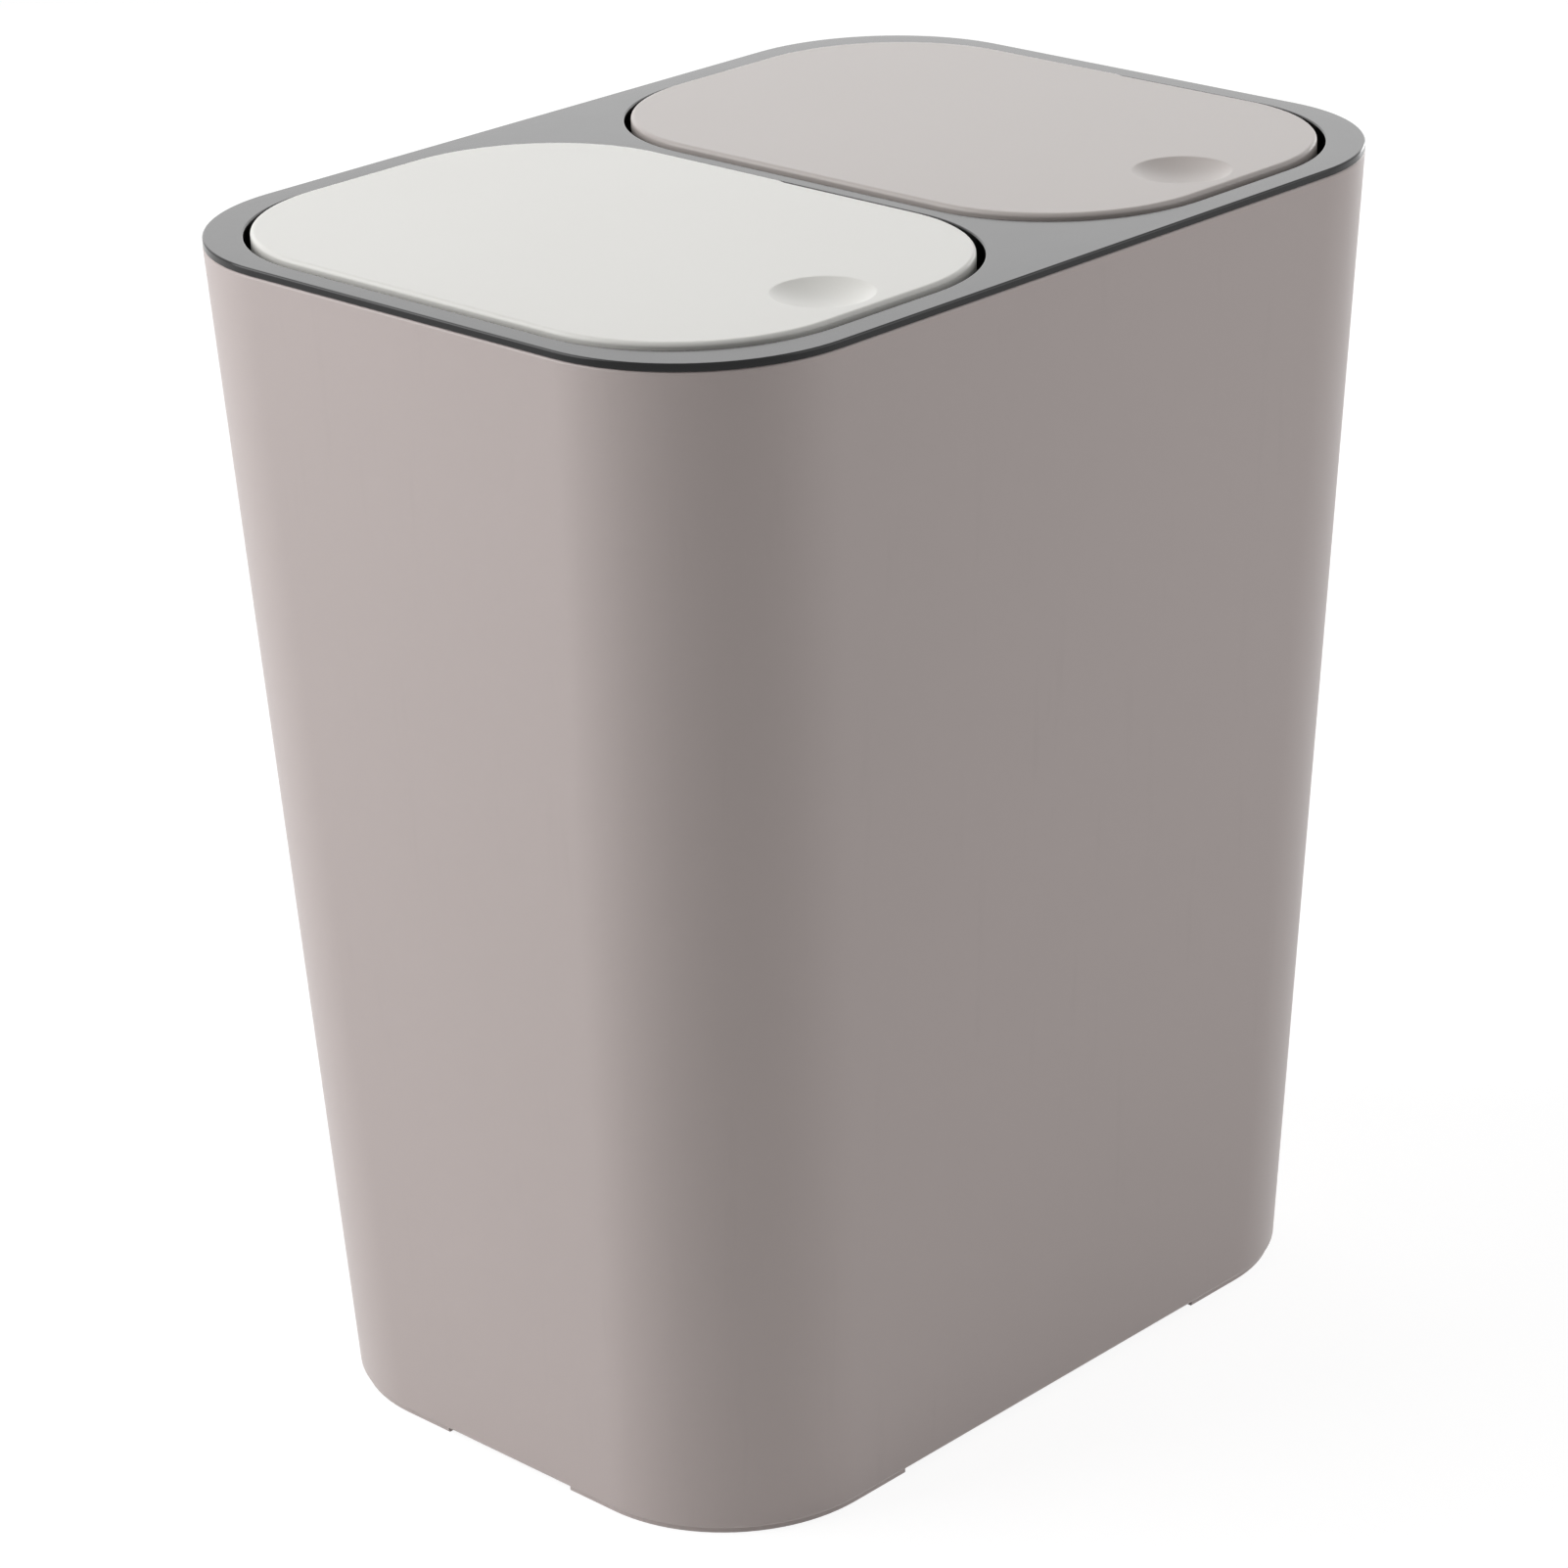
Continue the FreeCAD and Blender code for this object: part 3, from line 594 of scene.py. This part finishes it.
class BIN_OT_lid_frame(bpy.types.Operator):
    """Builds the gloss black frame that carries the lids"""
    bl_idname = "bin.lid_frame"
    bl_label = "Lid frame"

    def execute(self, context):
        deck = context.scene.bin_frame
        body = context.scene.bin_body
        mesh = bmesh.new()
        under = DECK_Z - deck.deck_wall
        plug_outer = body.wall + deck.plug_gap
        plug_inner = plug_outer + deck.plug_wall
        top = DECK_Z - deck.edge_round
        seat = RIM.z + body.rim_rise
        stations = [(plug_inner, under), (plug_inner, PLUG_LOW), (plug_outer, PLUG_LOW), (plug_outer, seat),
                    (0.0, seat)]
        stations += [(side, top + up) for side, up in quarter(deck.edge_round)]
        walls = skin(mesh, [(body_outline(body, z, inset), z) for inset, z in stations])
        above = [walls[-1]]
        below = [walls[0]]
        collar_low = DECK_Z - deck.collar_depth
        for side in (-1, 1):
            fall = quarter(deck.opening_round)
            stations = [(inset, DECK_Z - deck.opening_round + up) for inset, up in reversed(fall)]
            stations += [(0.0, collar_low), (deck.collar_wall, collar_low), (deck.collar_wall, under)]
            rows = skin(mesh, [(opening_outline(deck, side, grow), z) for grow, z in stations])
            above.append(rows[0])
            below.append(rows[-1])
        fill_level(mesh, above, True)
        fill_level(mesh, below, False)
        piece = to_object("gloss_lid_frame", mesh)
        carve(piece, self.inner_parts(deck, body, context.scene.bin_lid), "UNION")
        finish_piece(piece, gloss_black_abs(deck), "lid_frame", "frame_plastic", "lid_frame")
        return {"FINISHED"}

    def inner_parts(self, deck, body, lid):
        """Blocks beside the openings, the bar under the bridge, the four pins and the two rear stops."""
        mesh = bmesh.new()
        low = DECK_Z - deck.collar_depth
        high = DECK_Z - deck.deck_wall / 2
        half = deck.pin_block
        inside = deck.collar_wall / 2
        outer = RIM.x - body.wall - deck.plug_gap - deck.plug_wall / 2
        opening = RIM.x - deck.side_strip
        straight = RIM.y - deck.end_strip - deck.opening_corner
        block(mesh, (-deck.bridge / 2 + inside, -straight, low), (deck.bridge / 2 - inside, straight, high))
        block(mesh, (opening + inside, -half, low), (outer, half, high))
        block(mesh, (-outer, -half, low), (-opening - inside, half, high))
        rear = RIM.y - deck.end_strip
        reach = lid.gap + deck.ledge_reach
        top = LID.z - lid.skirt_depth - deck.ledge_gap
        wall = PIVOT.x - deck.bridge / 2
        for name, side in SIDES:
            middle = side * PIVOT.x
            block(mesh, (middle - deck.ledge_length / 2, rear - reach, top - deck.ledge_height),
                  (middle + deck.ledge_length / 2, rear + inside, top))
            for toward, back in ((-1, 0.0), (1, lid.jog)):
                tip = wall - lid.gap - deck.pin_reach - back
                root = wall + inside
                pin(mesh, middle + toward * root, middle + toward * tip, deck.pin_radius, deck.pin_lead)
        return to_object("inner_parts", mesh)


# ------------------------------------------------------------------ lids

def lid_outline(lid, deck, inset=0.0):
    """Outline of a lid with the jog half way along its right-hand side, about its own middle."""
    half = PIVOT.x - deck.bridge / 2 - lid.gap
    w = half - inset
    d = LID.y - inset
    r = lid.corner - inset
    turn = math.degrees(math.acos(1 - lid.jog / 2 / lid.jog_round))
    rise = lid.jog_round * math.sin(math.radians(turn))
    back = half - lid.jog
    return outline([(w - lid.jog - r, r - d, r, -90, 0, CORNER_STEPS),
                    (back + lid.jog_round, -rise, lid.jog_round + inset, 180, 180 - turn, ROUND_STEPS),
                    (half - lid.jog_round, rise, lid.jog_round - inset, -turn, 0, ROUND_STEPS),
                    (w - r, d - r, r, 0, 90, CORNER_STEPS),
                    (r - w, d - r, r, 90, 180, CORNER_STEPS),
                    (r - w, r - d, r, 180, 270, CORNER_STEPS)])


def dish(lid, x, y, top, grow):
    """Rows of the round thumb recess, from its soft rim inwards; grow gives its underside."""
    half = lid.thumb_width / 2
    ball = (half * half + lid.thumb_depth * lid.thumb_depth) / (2 * lid.thumb_depth)
    centre = top - lid.thumb_depth + ball
    rows = []
    if grow == 0.0:
        soft = lid.thumb_rim
        reach = math.acos((centre - top + soft) / (ball + soft))
        rim = (ball + soft) * math.sin(reach)
        for step in range(ROUND_STEPS):
            angle = reach * step / ROUND_STEPS
            rows.append((circle(x, y, rim - soft * math.sin(angle)), top - soft + soft * math.cos(angle)))
    else:
        reach = math.acos((centre - top + grow) / (ball + grow))
    for step in range(DISH_STEPS):
        angle = reach * (1 - step / DISH_STEPS)
        radius = (ball + grow) * math.sin(angle)
        rows.append((circle(x, y, radius), centre - (ball + grow) * math.cos(angle)))
    return rows


class BIN_OT_lids(bpy.types.Operator):
    """Builds the white and the mauve lid, with thumb recesses, ribs and hinge ears"""
    bl_idname = "bin.lids"
    bl_label = "Lids"

    def execute(self, context):
        lid = context.scene.bin_lid
        deck = context.scene.bin_frame
        finishes = {"left": ("white_polypropylene_lid", lid.white, "white_lid_plastic"),
                    "right": ("mauve_polypropylene_lid", lid.mauve, "mauve_lid_plastic")}
        for name, side in SIDES:
            finish, plastic, slot = finishes[name]
            piece = self.cover(lid, deck, name + "_push_lid", side * PIVOT.x)
            carve(piece, self.underside(lid, deck, side * PIVOT.x), "UNION")
            carve(piece, self.ear_bores(lid, deck, side * PIVOT.x), "DIFFERENCE")
            finish_piece(piece, moulded_polypropylene_lid(finish, plastic), name + "_lid", slot,
                         name + "_lid")
        return {"FINISHED"}

    def cover(self, lid, deck, name, x):
        """Lid shell: skirt, rounded shoulder, level top and thumb recess."""
        mesh = bmesh.new()
        under = LID.z - lid.wall
        low = LID.z - lid.skirt_depth
        shoulder = LID.z - lid.shoulder
        stations = [(lid.skirt_wall, under), (lid.skirt_wall, low), (0.0, low)]
        stations += [(side, shoulder + up) for side, up in quarter(lid.shoulder)]
        offset = Vector((x, 0.0))
        walls = skin(mesh, [([point + offset for point in lid_outline(lid, deck, inset)], z)
                            for inset, z in stations])
        place = (x - lid.thumb_aside, lid.thumb_place - LID.y, LID.z)
        hollow = skin(mesh, dish(lid, *place, 0.0))
        mesh.faces.new(hollow[-1])
        bulge = skin(mesh, list(reversed(dish(lid, *place, lid.wall))))
        mesh.faces.new(reversed(bulge[0]))
        fill_level(mesh, [walls[-1], hollow[0]], True)
        fill_level(mesh, [walls[0], bulge[-1]], False)
        return to_object(name, mesh)

    def underside(self, lid, deck, x):
        """Pivot beam, two long ribs, the counterweight's pocket with its hooks, and the ears."""
        mesh = bmesh.new()
        under = LID.z - lid.wall
        high = under + lid.wall / 2
        half = PIVOT.x - deck.bridge / 2 - lid.gap
        thick = lid.rib_wall / 2
        reach = half - lid.jog - lid.skirt_wall / 2
        block(mesh, (x - reach, -thick, PIVOT.z - lid.rib_wall), (x + reach, thick, high))
        low, far = WEIGHT
        middle = (low.y + far.y) / 2
        long = (far.x - low.x) / 2 + lid.pocket_gap
        deep = (far.y - low.y) / 2 + lid.pocket_gap
        wall = lid.rib_wall
        base = low.z - lid.hook_height
        front = lid.thumb_place - LID.y + lid.thumb_width / 2
        for offset in (-lid.rib_spacing / 2, lid.rib_spacing / 2):
            block(mesh, (x + offset - thick, front, under - lid.rib_depth),
                  (x + offset + thick, middle - deep - thick, high))
        for side in (-1, 1):
            near, away = sorted((side * long, side * (long + wall)))
            block(mesh, (x + near, middle - deep - wall, base), (x + away, middle + deep + wall, high))
            near, away = sorted((side * deep, side * (deep + wall)))
            block(mesh, (x - long - thick, middle + near, base), (x + long + thick, middle + away, high))
            near, away = sorted((side * (deep - lid.hook_lip), side * (deep + thick)))
            block(mesh, (x - lid.hook_length / 2, middle + near, base),
                  (x + lid.hook_length / 2, middle + away, base + lid.hook_height))
        for face in self.ear_faces(lid, deck):
            rod(mesh, lid.ear_radius, PIVOT.z, x + face, x + (face - math.copysign(lid.ear_wall, face)))
        return to_object("underside", mesh)

    def ear_faces(self, lid, deck):
        """Outer faces of the two ears, about the lid's middle."""
        half = PIVOT.x - deck.bridge / 2 - lid.gap
        return (-half, half - lid.jog)

    def ear_bores(self, lid, deck, x):
        """Holes through the ears and the skirt."""
        mesh = bmesh.new()
        for face in self.ear_faces(lid, deck):
            over = math.copysign(lid.ear_wall, face)
            rod(mesh, lid.ear_bore, PIVOT.z, x + face - EAR_BORE_REACH * over, x + face + over)
        return to_object("ear_bores", mesh)


class BIN_OT_counterweights(bpy.types.Operator):
    """Builds the steel bars that close the lids"""
    bl_idname = "bin.counterweights"
    bl_label = "Counterweights"

    def execute(self, context):
        lid = context.scene.bin_lid
        steel = context.scene.bin_bucket.weight
        metal = drawn_steel("sawn_steel_bar", steel, streak=0.6, roughness=0.38)
        low, far = WEIGHT
        for name, side in SIDES:
            near, away = sorted((side * low.x, side * far.x))
            edge = lid.weight_edge
            stations = [(edge, low.z), (0.0, low.z + edge), (0.0, far.z - edge), (edge, far.z)]
            rows = [(rounded_rectangle(near + inset, away - inset, low.y + inset, far.y - inset,
                                       lid.weight_corner - inset, WEIGHT_STEPS), z) for inset, z in stations]
            piece = closed_skin(name + "_steel_counterweight", rows)
            finish_piece(piece, metal, name + "_lid", "weight_steel", name + "_lid_counterweight")
        return {"FINISHED"}


# ------------------------------------------------------------------ buckets and bails

def bucket_outline(bucket, body, side, z, inset=0.0):
    """Outline of one bucket at height z: it follows the body, and its inner side leans in."""
    top = DECK_Z - bucket.rim_drop
    gap = body.wall + bucket.clearance + inset
    lean = bucket.draft * (top - z) / (top - BUCKET_LOW)
    inner = bucket.apart / 2 + lean + inset
    outer, y, radius = (size - gap for size in body_section(body, z))
    near, away = sorted((side * inner, side * outer))
    return rounded_rectangle(near, away, -y, y, radius)


class BIN_OT_buckets(bpy.types.Operator):
    """Builds the two inner buckets with their bail lugs"""
    bl_idname = "bin.buckets"
    bl_label = "Inner buckets"

    def execute(self, context):
        bucket = context.scene.bin_bucket
        body = context.scene.bin_body
        plastic = moulded_polypropylene_bucket("moulded_polypropylene_bucket", bucket.plastic)
        top = DECK_Z - bucket.rim_drop
        for name, side in SIDES:
            foot = bucket.foot_round
            stations = [(out, BUCKET_LOW + foot - rise) for out, rise in reversed(quarter(foot))]
            lip = bucket.wall / 3
            stations += [(out, top - lip + rise) for out, rise in quarter(lip)]
            stations += [(bucket.wall - out, top - lip + rise) for out, rise in reversed(quarter(lip))]
            hollow = foot - bucket.wall
            floor = BUCKET_LOW + bucket.floor
            stations += [(bucket.wall + out, floor + hollow - rise) for out, rise in quarter(hollow)]
            piece = closed_skin(name + "_bucket", [(bucket_outline(bucket, body, side, z, inset), z)
                                                   for inset, z in stations])
            carve(piece, self.lugs(bucket, side), "UNION")
            hole = bmesh.new()
            rod(hole, bucket.wire_radius * WIRE_BORE, BAIL_PIVOT.z, side * WIRE[0].x, side * WIRE[1].x)
            carve(piece, to_object("hole", hole), "DIFFERENCE")
            finish_piece(piece, plastic, name + "_bucket", "bucket_plastic", name + "_inner_bucket")
        return {"FINISHED"}

    def lugs(self, bucket, side):
        """Two tabs with round upper corners, each on a pad inside the wall."""
        top = DECK_Z - bucket.rim_drop
        half = bucket.lug_half
        high = top + bucket.lug_rise
        low = top - bucket.lug_drop
        round_off = half / 2
        face = outline([(half - round_off, high - round_off, round_off, 0, 90, LUG_STEPS),
                        (round_off - half, high - round_off, round_off, 90, 180, LUG_STEPS),
                        (-half, low, 0.0, 180, 180, 1), (half, low, 0.0, 0, 0, 1)], 1)
        pad = [Vector((-half, low)), Vector((half, low)), Vector((half, top)), Vector((-half, top))]
        mesh = bmesh.new()
        arms = ((WIRE[0].x + bucket.wire_radius, 1), (WIRE[1].x - bucket.wire_radius, -1))
        for arm, toward in arms:
            near = arm + toward * (bucket.wire_radius + bucket.lug_gap)
            far = near + toward * bucket.lug_wall
            wall = arm - toward * (bucket.wire_inside + bucket.wire_radius - bucket.wall / 2)
            slab(mesh, face, side * near, side * far)
            slab(mesh, pad, side * wall, side * near)
        return to_object("lugs", mesh)


def tree_with_inputs(name, inputs):
    """Geometry Nodes tree with these inputs and a geometry out, and the sockets of its inputs."""
    tree = bpy.data.node_groups.new(name, "GeometryNodeTree")
    tree.interface.new_socket("Geometry", in_out="INPUT", socket_type="NodeSocketGeometry")
    for label, kind in inputs:
        tree.interface.new_socket(label, in_out="INPUT", socket_type=kind)
    tree.interface.new_socket("Geometry", in_out="OUTPUT", socket_type="NodeSocketGeometry")
    return tree, tree.nodes.new("NodeGroupInput").outputs


def close_tree(tree, geometry, material):
    """Ends a tree in real, smooth mesh with its material."""
    real = add_node(tree, "GeometryNodeRealizeInstances", {"Geometry": geometry})
    painted = add_node(tree, "GeometryNodeSetMaterial", {"Geometry": real.outputs[0], "Material": material})
    add_node(tree, "NodeGroupOutput", {0: painted.outputs[0]})


def grow(piece, tree, values):
    """Runs a tree on a piece with the given inputs and keeps the result as plain mesh."""
    modifier = piece.modifiers.new(tree.name, "NODES")
    modifier.node_group = tree
    sockets = {item.name: item.identifier for item in tree.interface.items_tree if item.in_out == "INPUT"}
    for label, value in values.items():
        modifier[sockets[label]] = value
    settle(piece)


def wire_tree():
    """Path of straight runs -> rounded at its corners by the radius stored on each -> round wire."""
    tree, given = tree_with_inputs("bail_wire", [("Radius", "NodeSocketFloat"),
                                                 ("Material", "NodeSocketMaterial")])
    bend = add_node(tree, "GeometryNodeInputNamedAttribute", {"Name": "bend"}, data_type="FLOAT")
    path = add_node(tree, "GeometryNodeMeshToCurve", {"Mesh": given["Geometry"]})
    rounded = add_node(tree, "GeometryNodeFilletCurve",
                       {"Curve": path.outputs[0], "Count": BEND_STEPS, "Radius": bend.outputs["Attribute"]},
                       mode="POLY")
    wire = round_along(tree, rounded.outputs[0], WIRE_STEPS, given["Radius"])
    close_tree(tree, wire, given["Material"])
    return tree


def round_along(tree, path, steps, radius):
    """Mesh of a round section drawn along a path, closed at the ends of an open one."""
    section = add_node(tree, "GeometryNodeCurvePrimitiveCircle", {"Resolution": steps, "Radius": radius})
    return add_node(tree, "GeometryNodeCurveToMesh",
                    {"Curve": path, "Profile Curve": section.outputs[0], "Fill Caps": True}).outputs[0]


def ridge_tree():
    """Sleeve in, the same sleeve with evenly spaced round finger ridges out."""
    inputs = [("Ridges", "NodeSocketInt"), ("First", "NodeSocketVector"), ("Step", "NodeSocketVector"),
              ("Radius", "NodeSocketFloat"), ("Ridge", "NodeSocketFloat"), ("Material", "NodeSocketMaterial")]
    tree, given = tree_with_inputs("grip_ridges", inputs)
    places = add_node(tree, "GeometryNodeMeshLine",
                      {"Count": given["Ridges"], "Start Location": given["First"], "Offset": given["Step"]},
                      mode="OFFSET")
    path = add_node(tree, "GeometryNodeCurvePrimitiveCircle",
                    {"Resolution": SLEEVE_STEPS, "Radius": given["Radius"]})
    ring = round_along(tree, path.outputs[0], RIDGE_STEPS, given["Ridge"])
    upright = add_node(tree, "GeometryNodeTransform", {"Geometry": ring, "Rotation": (0.0, math.pi / 2, 0.0)})
    rings = add_node(tree, "GeometryNodeInstanceOnPoints",
                     {"Points": places.outputs[0], "Instance": upright.outputs[0]})
    joined = tree.nodes.new("GeometryNodeJoinGeometry")
    tree.links.new(rings.outputs[0], joined.inputs[0])
    tree.links.new(given["Geometry"], joined.inputs[0])
    close_tree(tree, joined.outputs[0], given["Material"])
    return tree


class BIN_OT_bails(bpy.types.Operator):
    """Builds the wire bails and their ridged grips"""
    bl_idname = "bin.bails"
    bl_label = "Bails"

    def execute(self, context):
        bucket = context.scene.bin_bucket
        steel = drawn_steel("zinc_plated_wire", bucket.wire, streak=0.25, roughness=0.22)
        plastic = moulded_polypropylene_bucket("moulded_grip", bucket.plastic)
        wire_nodes = wire_tree()
        ridge_nodes = ridge_tree()
        for name, side in SIDES:
            wire = self.path(name + "_wire_bail", bucket, side)
            grow(wire, wire_nodes, {"Radius": bucket.wire_radius, "Material": steel})
            finish_piece(wire, steel, name + "_bail", "bail_steel", name + "_bail_wire")
            low, far = sorted((side * GRIP[0].x, side * GRIP[1].x))
            middle = Vector((0.0, (GRIP[0].y + GRIP[1].y) / 2, BAIL_PIVOT.z))
            sleeve = self.sleeve(name + "_ridged_grip", bucket, low, far, middle)
            step = (far - low) / (bucket.ridges + 1)
            radius = (GRIP[1].z - GRIP[0].z) / 2
            grow(sleeve, ridge_nodes, {"Ridges": bucket.ridges, "First": middle + Vector((low + step, 0, 0)),
                                       "Step": Vector((step, 0, 0)), "Ridge": bucket.grip_ridge,
                                       "Radius": radius - bucket.grip_ridge / 4, "Material": plastic})
            finish_piece(sleeve, plastic, name + "_bail", "grip_plastic", name + "_bail_grip")
        return {"FINISHED"}

    def path(self, name, bucket, side):
        """Corners of the bail: pin, elbow, arm, wide bend, grip bar, and the same back again."""
        radius = bucket.wire_radius
        near, far = WIRE[0].x + radius, WIRE[1].x - radius
        reach = radius + bucket.lug_gap + bucket.lug_wall
        bar = WIRE[1].y - radius
        elbow = radius + bucket.lug_gap
        points = [(near + reach, 0.0, 0.0), (near, 0.0, elbow), (near, bar, bucket.wire_bend),
                  (far, bar, bucket.wire_bend), (far, 0.0, elbow), (far - reach, 0.0, 0.0)]
        data = bpy.data.meshes.new(name)
        data.from_pydata([(side * x, y, BAIL_PIVOT.z) for x, y, bend in points],
                         [(index, index + 1) for index in range(len(points) - 1)], [])
        bends = data.attributes.new("bend", "FLOAT", "POINT")
        bends.data.foreach_set("value", [bend for x, y, bend in points])
        return add_object(name, data)

    def sleeve(self, name, bucket, low, far, middle):
        """Round sleeve with its bore and softly rounded ends."""
        outer = (GRIP[1].z - GRIP[0].z) / 2
        inner = bucket.wire_radius * WIRE_BORE
        soft = outer / 4
        profile = [(low + out, outer - soft + rise) for out, rise in quarter(soft)]
        profile += [(far - out, outer - soft + rise) for out, rise in reversed(quarter(soft))]
        profile += [(far, inner), (low, inner)]
        mesh = bmesh.new()
        turns = [math.tau * step / SLEEVE_STEPS for step in range(SLEEVE_STEPS)]
        rings = [[mesh.verts.new((x, middle.y + radius * math.cos(turn), middle.z + radius * math.sin(turn)))
                  for turn in turns] for x, radius in profile]
        join(mesh, rings + rings[:1])
        return to_object(name, mesh)


# ------------------------------------------------------------------ stage

# Each softbox: the setting of its power, azimuth (0 is in front of the bin) and elevation in degrees,
# distance from the middle of the bin, width and height in metres.
SOFTBOXES = {
    "left_softbox": ("left_power", -128.0, 27.0, 1.5, 1.2, 1.6),
    "right_softbox": ("right_power", 29.0, 20.0, 1.5, 1.2, 1.6),
    "top_softbox": ("top_power", 165.0, 62.0, 1.5, 1.2, 1.2),
    "rear_softbox": ("rear_power", 134.0, 22.0, 1.7, 2.2, 1.1),
    "rim_strip": ("rim_power", 98.0, 4.0, 1.4, 0.3, 0.7),
}
CAMERA_PLACE = Vector((-0.9379, -0.8927, 0.7029))
CAMERA_AIM = Vector((-0.0312, -0.0189, 0.1783))
CAMERA_ROLL = -1.692    # degrees
CAMERA_LENS = 113.2     # millimetres
SENSOR_WIDTH = 36.0     # millimetres
WHITE = (1.0, 1.0, 1.0, 1.0)


def seen_or_mirrored(tree):
    """1 for the camera's rays and for those of mirror images, 0 for the rest."""
    rays = add_node(tree, "ShaderNodeLightPath").outputs
    either = {0: rays["Is Camera Ray"], 1: rays["Is Glossy Ray"]}
    return add_node(tree, "ShaderNodeMath", either, operation="MAXIMUM").outputs[0]


class BIN_OT_stage(bpy.types.Operator):
    """Sets the floor, the softboxes, the white world and the camera"""
    bl_idname = "bin.stage"
    bl_label = "Stage"

    def execute(self, context):
        stage = context.scene.bin_stage
        self.floor(stage)
        self.world(context, stage)
        for name, (power, azimuth, elevation, distance, *size) in SOFTBOXES.items():
            self.softbox(name, azimuth, elevation, distance, size, getattr(stage, power))
        self.camera(context)
        context.scene.view_settings.view_transform = "Standard"
        return {"FINISHED"}

    def softbox(self, name, azimuth, elevation, distance, size, power):
        """Rectangular area lamp that faces the middle of the bin."""
        turn = math.radians(azimuth)
        rise = math.radians(elevation)
        back = Vector((math.sin(turn) * math.cos(rise), -math.cos(turn) * math.cos(rise), math.sin(rise)))
        lamp = bpy.data.lights.new(name, "AREA")
        lamp.shape = "RECTANGLE"
        lamp.size, lamp.size_y = size
        lamp.energy = power
        holder = add_object(name, lamp)
        holder.location = Vector((0.0, 0.0, DECK_Z / 2)) + back * distance
        holder.rotation_euler = back.to_track_quat("Z", "Y").to_euler()

    def floor(self, stage):
        """Pale floor, white to the camera and in mirror images, that keeps the bin's soft shadow."""
        material = bpy.data.materials.new("pale_floor")
        tree = empty_tree(material)
        matt = add_node(tree, "ShaderNodeBsdfDiffuse", {"Color": stage.floor})
        faint = add_node(tree, "ShaderNodeBsdfDiffuse", {"Color": stage.shade})
        glow = add_node(tree, "ShaderNodeEmission", {"Color": WHITE, "Strength": stage.glow})
        lit = add_node(tree, "ShaderNodeAddShader", {0: faint.outputs[0], 1: glow.outputs[0]})
        seen = add_node(tree, "ShaderNodeMixShader",
                        {0: seen_or_mirrored(tree), 1: matt.outputs[0], 2: lit.outputs[0]})
        add_node(tree, "ShaderNodeOutputMaterial", {"Surface": seen.outputs[0]})
        data = bpy.data.meshes.new("floor")
        corners = [(x * stage.reach, y * stage.reach, 0.0) for x, y in ((-1, -1), (1, -1), (1, 1), (-1, 1))]
        data.from_pydata(corners, [], [(0, 1, 2, 3)])
        data.materials.append(material)
        floor = add_object("floor", data)

    def world(self, context, stage):
        """World that is white to the eye and in mirror images, and gives a low even light."""
        world = bpy.data.worlds.new("white_world")
        context.scene.world = world
        tree = empty_tree(world)
        dim = add_node(tree, "ShaderNodeBackground", {"Color": WHITE, "Strength": stage.ambient})
        white = add_node(tree, "ShaderNodeBackground", {"Color": WHITE, "Strength": 1.0})
        mixed = add_node(tree, "ShaderNodeMixShader",
                         {0: seen_or_mirrored(tree), 1: dim.outputs[0], 2: white.outputs[0]})
        add_node(tree, "ShaderNodeOutputWorld", {"Surface": mixed.outputs[0]})

    def camera(self, context):
        """Camera in front on the left, looking down at the bin."""
        roll = math.radians(CAMERA_ROLL)
        back = (CAMERA_PLACE - CAMERA_AIM).normalized()
        across = Vector((0, 0, 1)).cross(back).normalized()
        upward = back.cross(across)
        right = math.cos(roll) * across + math.sin(roll) * upward
        up = math.cos(roll) * upward - math.sin(roll) * across
        lens = bpy.data.cameras.new("camera")
        lens.lens = CAMERA_LENS
        lens.sensor_width = SENSOR_WIDTH
        camera = add_object("camera", lens)
        camera.matrix_world = Matrix((right, up, back)).transposed().to_4x4()
        camera.location = CAMERA_PLACE
        context.scene.camera = camera


SETTINGS = {"bin_body": BodySettings, "bin_frame": FrameSettings, "bin_lid": LidSettings,
            "bin_bucket": BucketSettings, "bin_stage": StageSettings}
OPERATORS = (BIN_OT_outer_body, BIN_OT_lid_frame, BIN_OT_lids, BIN_OT_counterweights, BIN_OT_buckets,
             BIN_OT_bails, BIN_OT_stage)


class BIN_PT_panel(bpy.types.Panel):
    """Lists the steps that build the bin"""
    bl_idname = "BIN_PT_panel"
    bl_label = "Double recycling bin"
    bl_space_type = "VIEW_3D"
    bl_region_type = "UI"
    bl_category = "Bin"

    def draw(self, context):
        for operator in OPERATORS:
            self.layout.operator(operator.bl_idname)


def register():
    for settings in SETTINGS.values():
        bpy.utils.register_class(settings)
    for name, settings in SETTINGS.items():
        setattr(bpy.types.Scene, name, bpy.props.PointerProperty(type=settings))
    for entry in OPERATORS + (BIN_PT_panel,):
        bpy.utils.register_class(entry)


def unregister():
    for entry in reversed(OPERATORS + (BIN_PT_panel,)):
        bpy.utils.unregister_class(entry)
    for name in SETTINGS:
        delattr(bpy.types.Scene, name)
    for settings in reversed(list(SETTINGS.values())):
        bpy.utils.unregister_class(settings)


def main():
    register()
    bpy.ops.bin.stage()
    bpy.ops.bin.outer_body()
    bpy.ops.bin.lid_frame()
    bpy.ops.bin.lids()
    bpy.ops.bin.counterweights()
    bpy.ops.bin.buckets()
    bpy.ops.bin.bails()


if __name__ == "__main__":
    main()
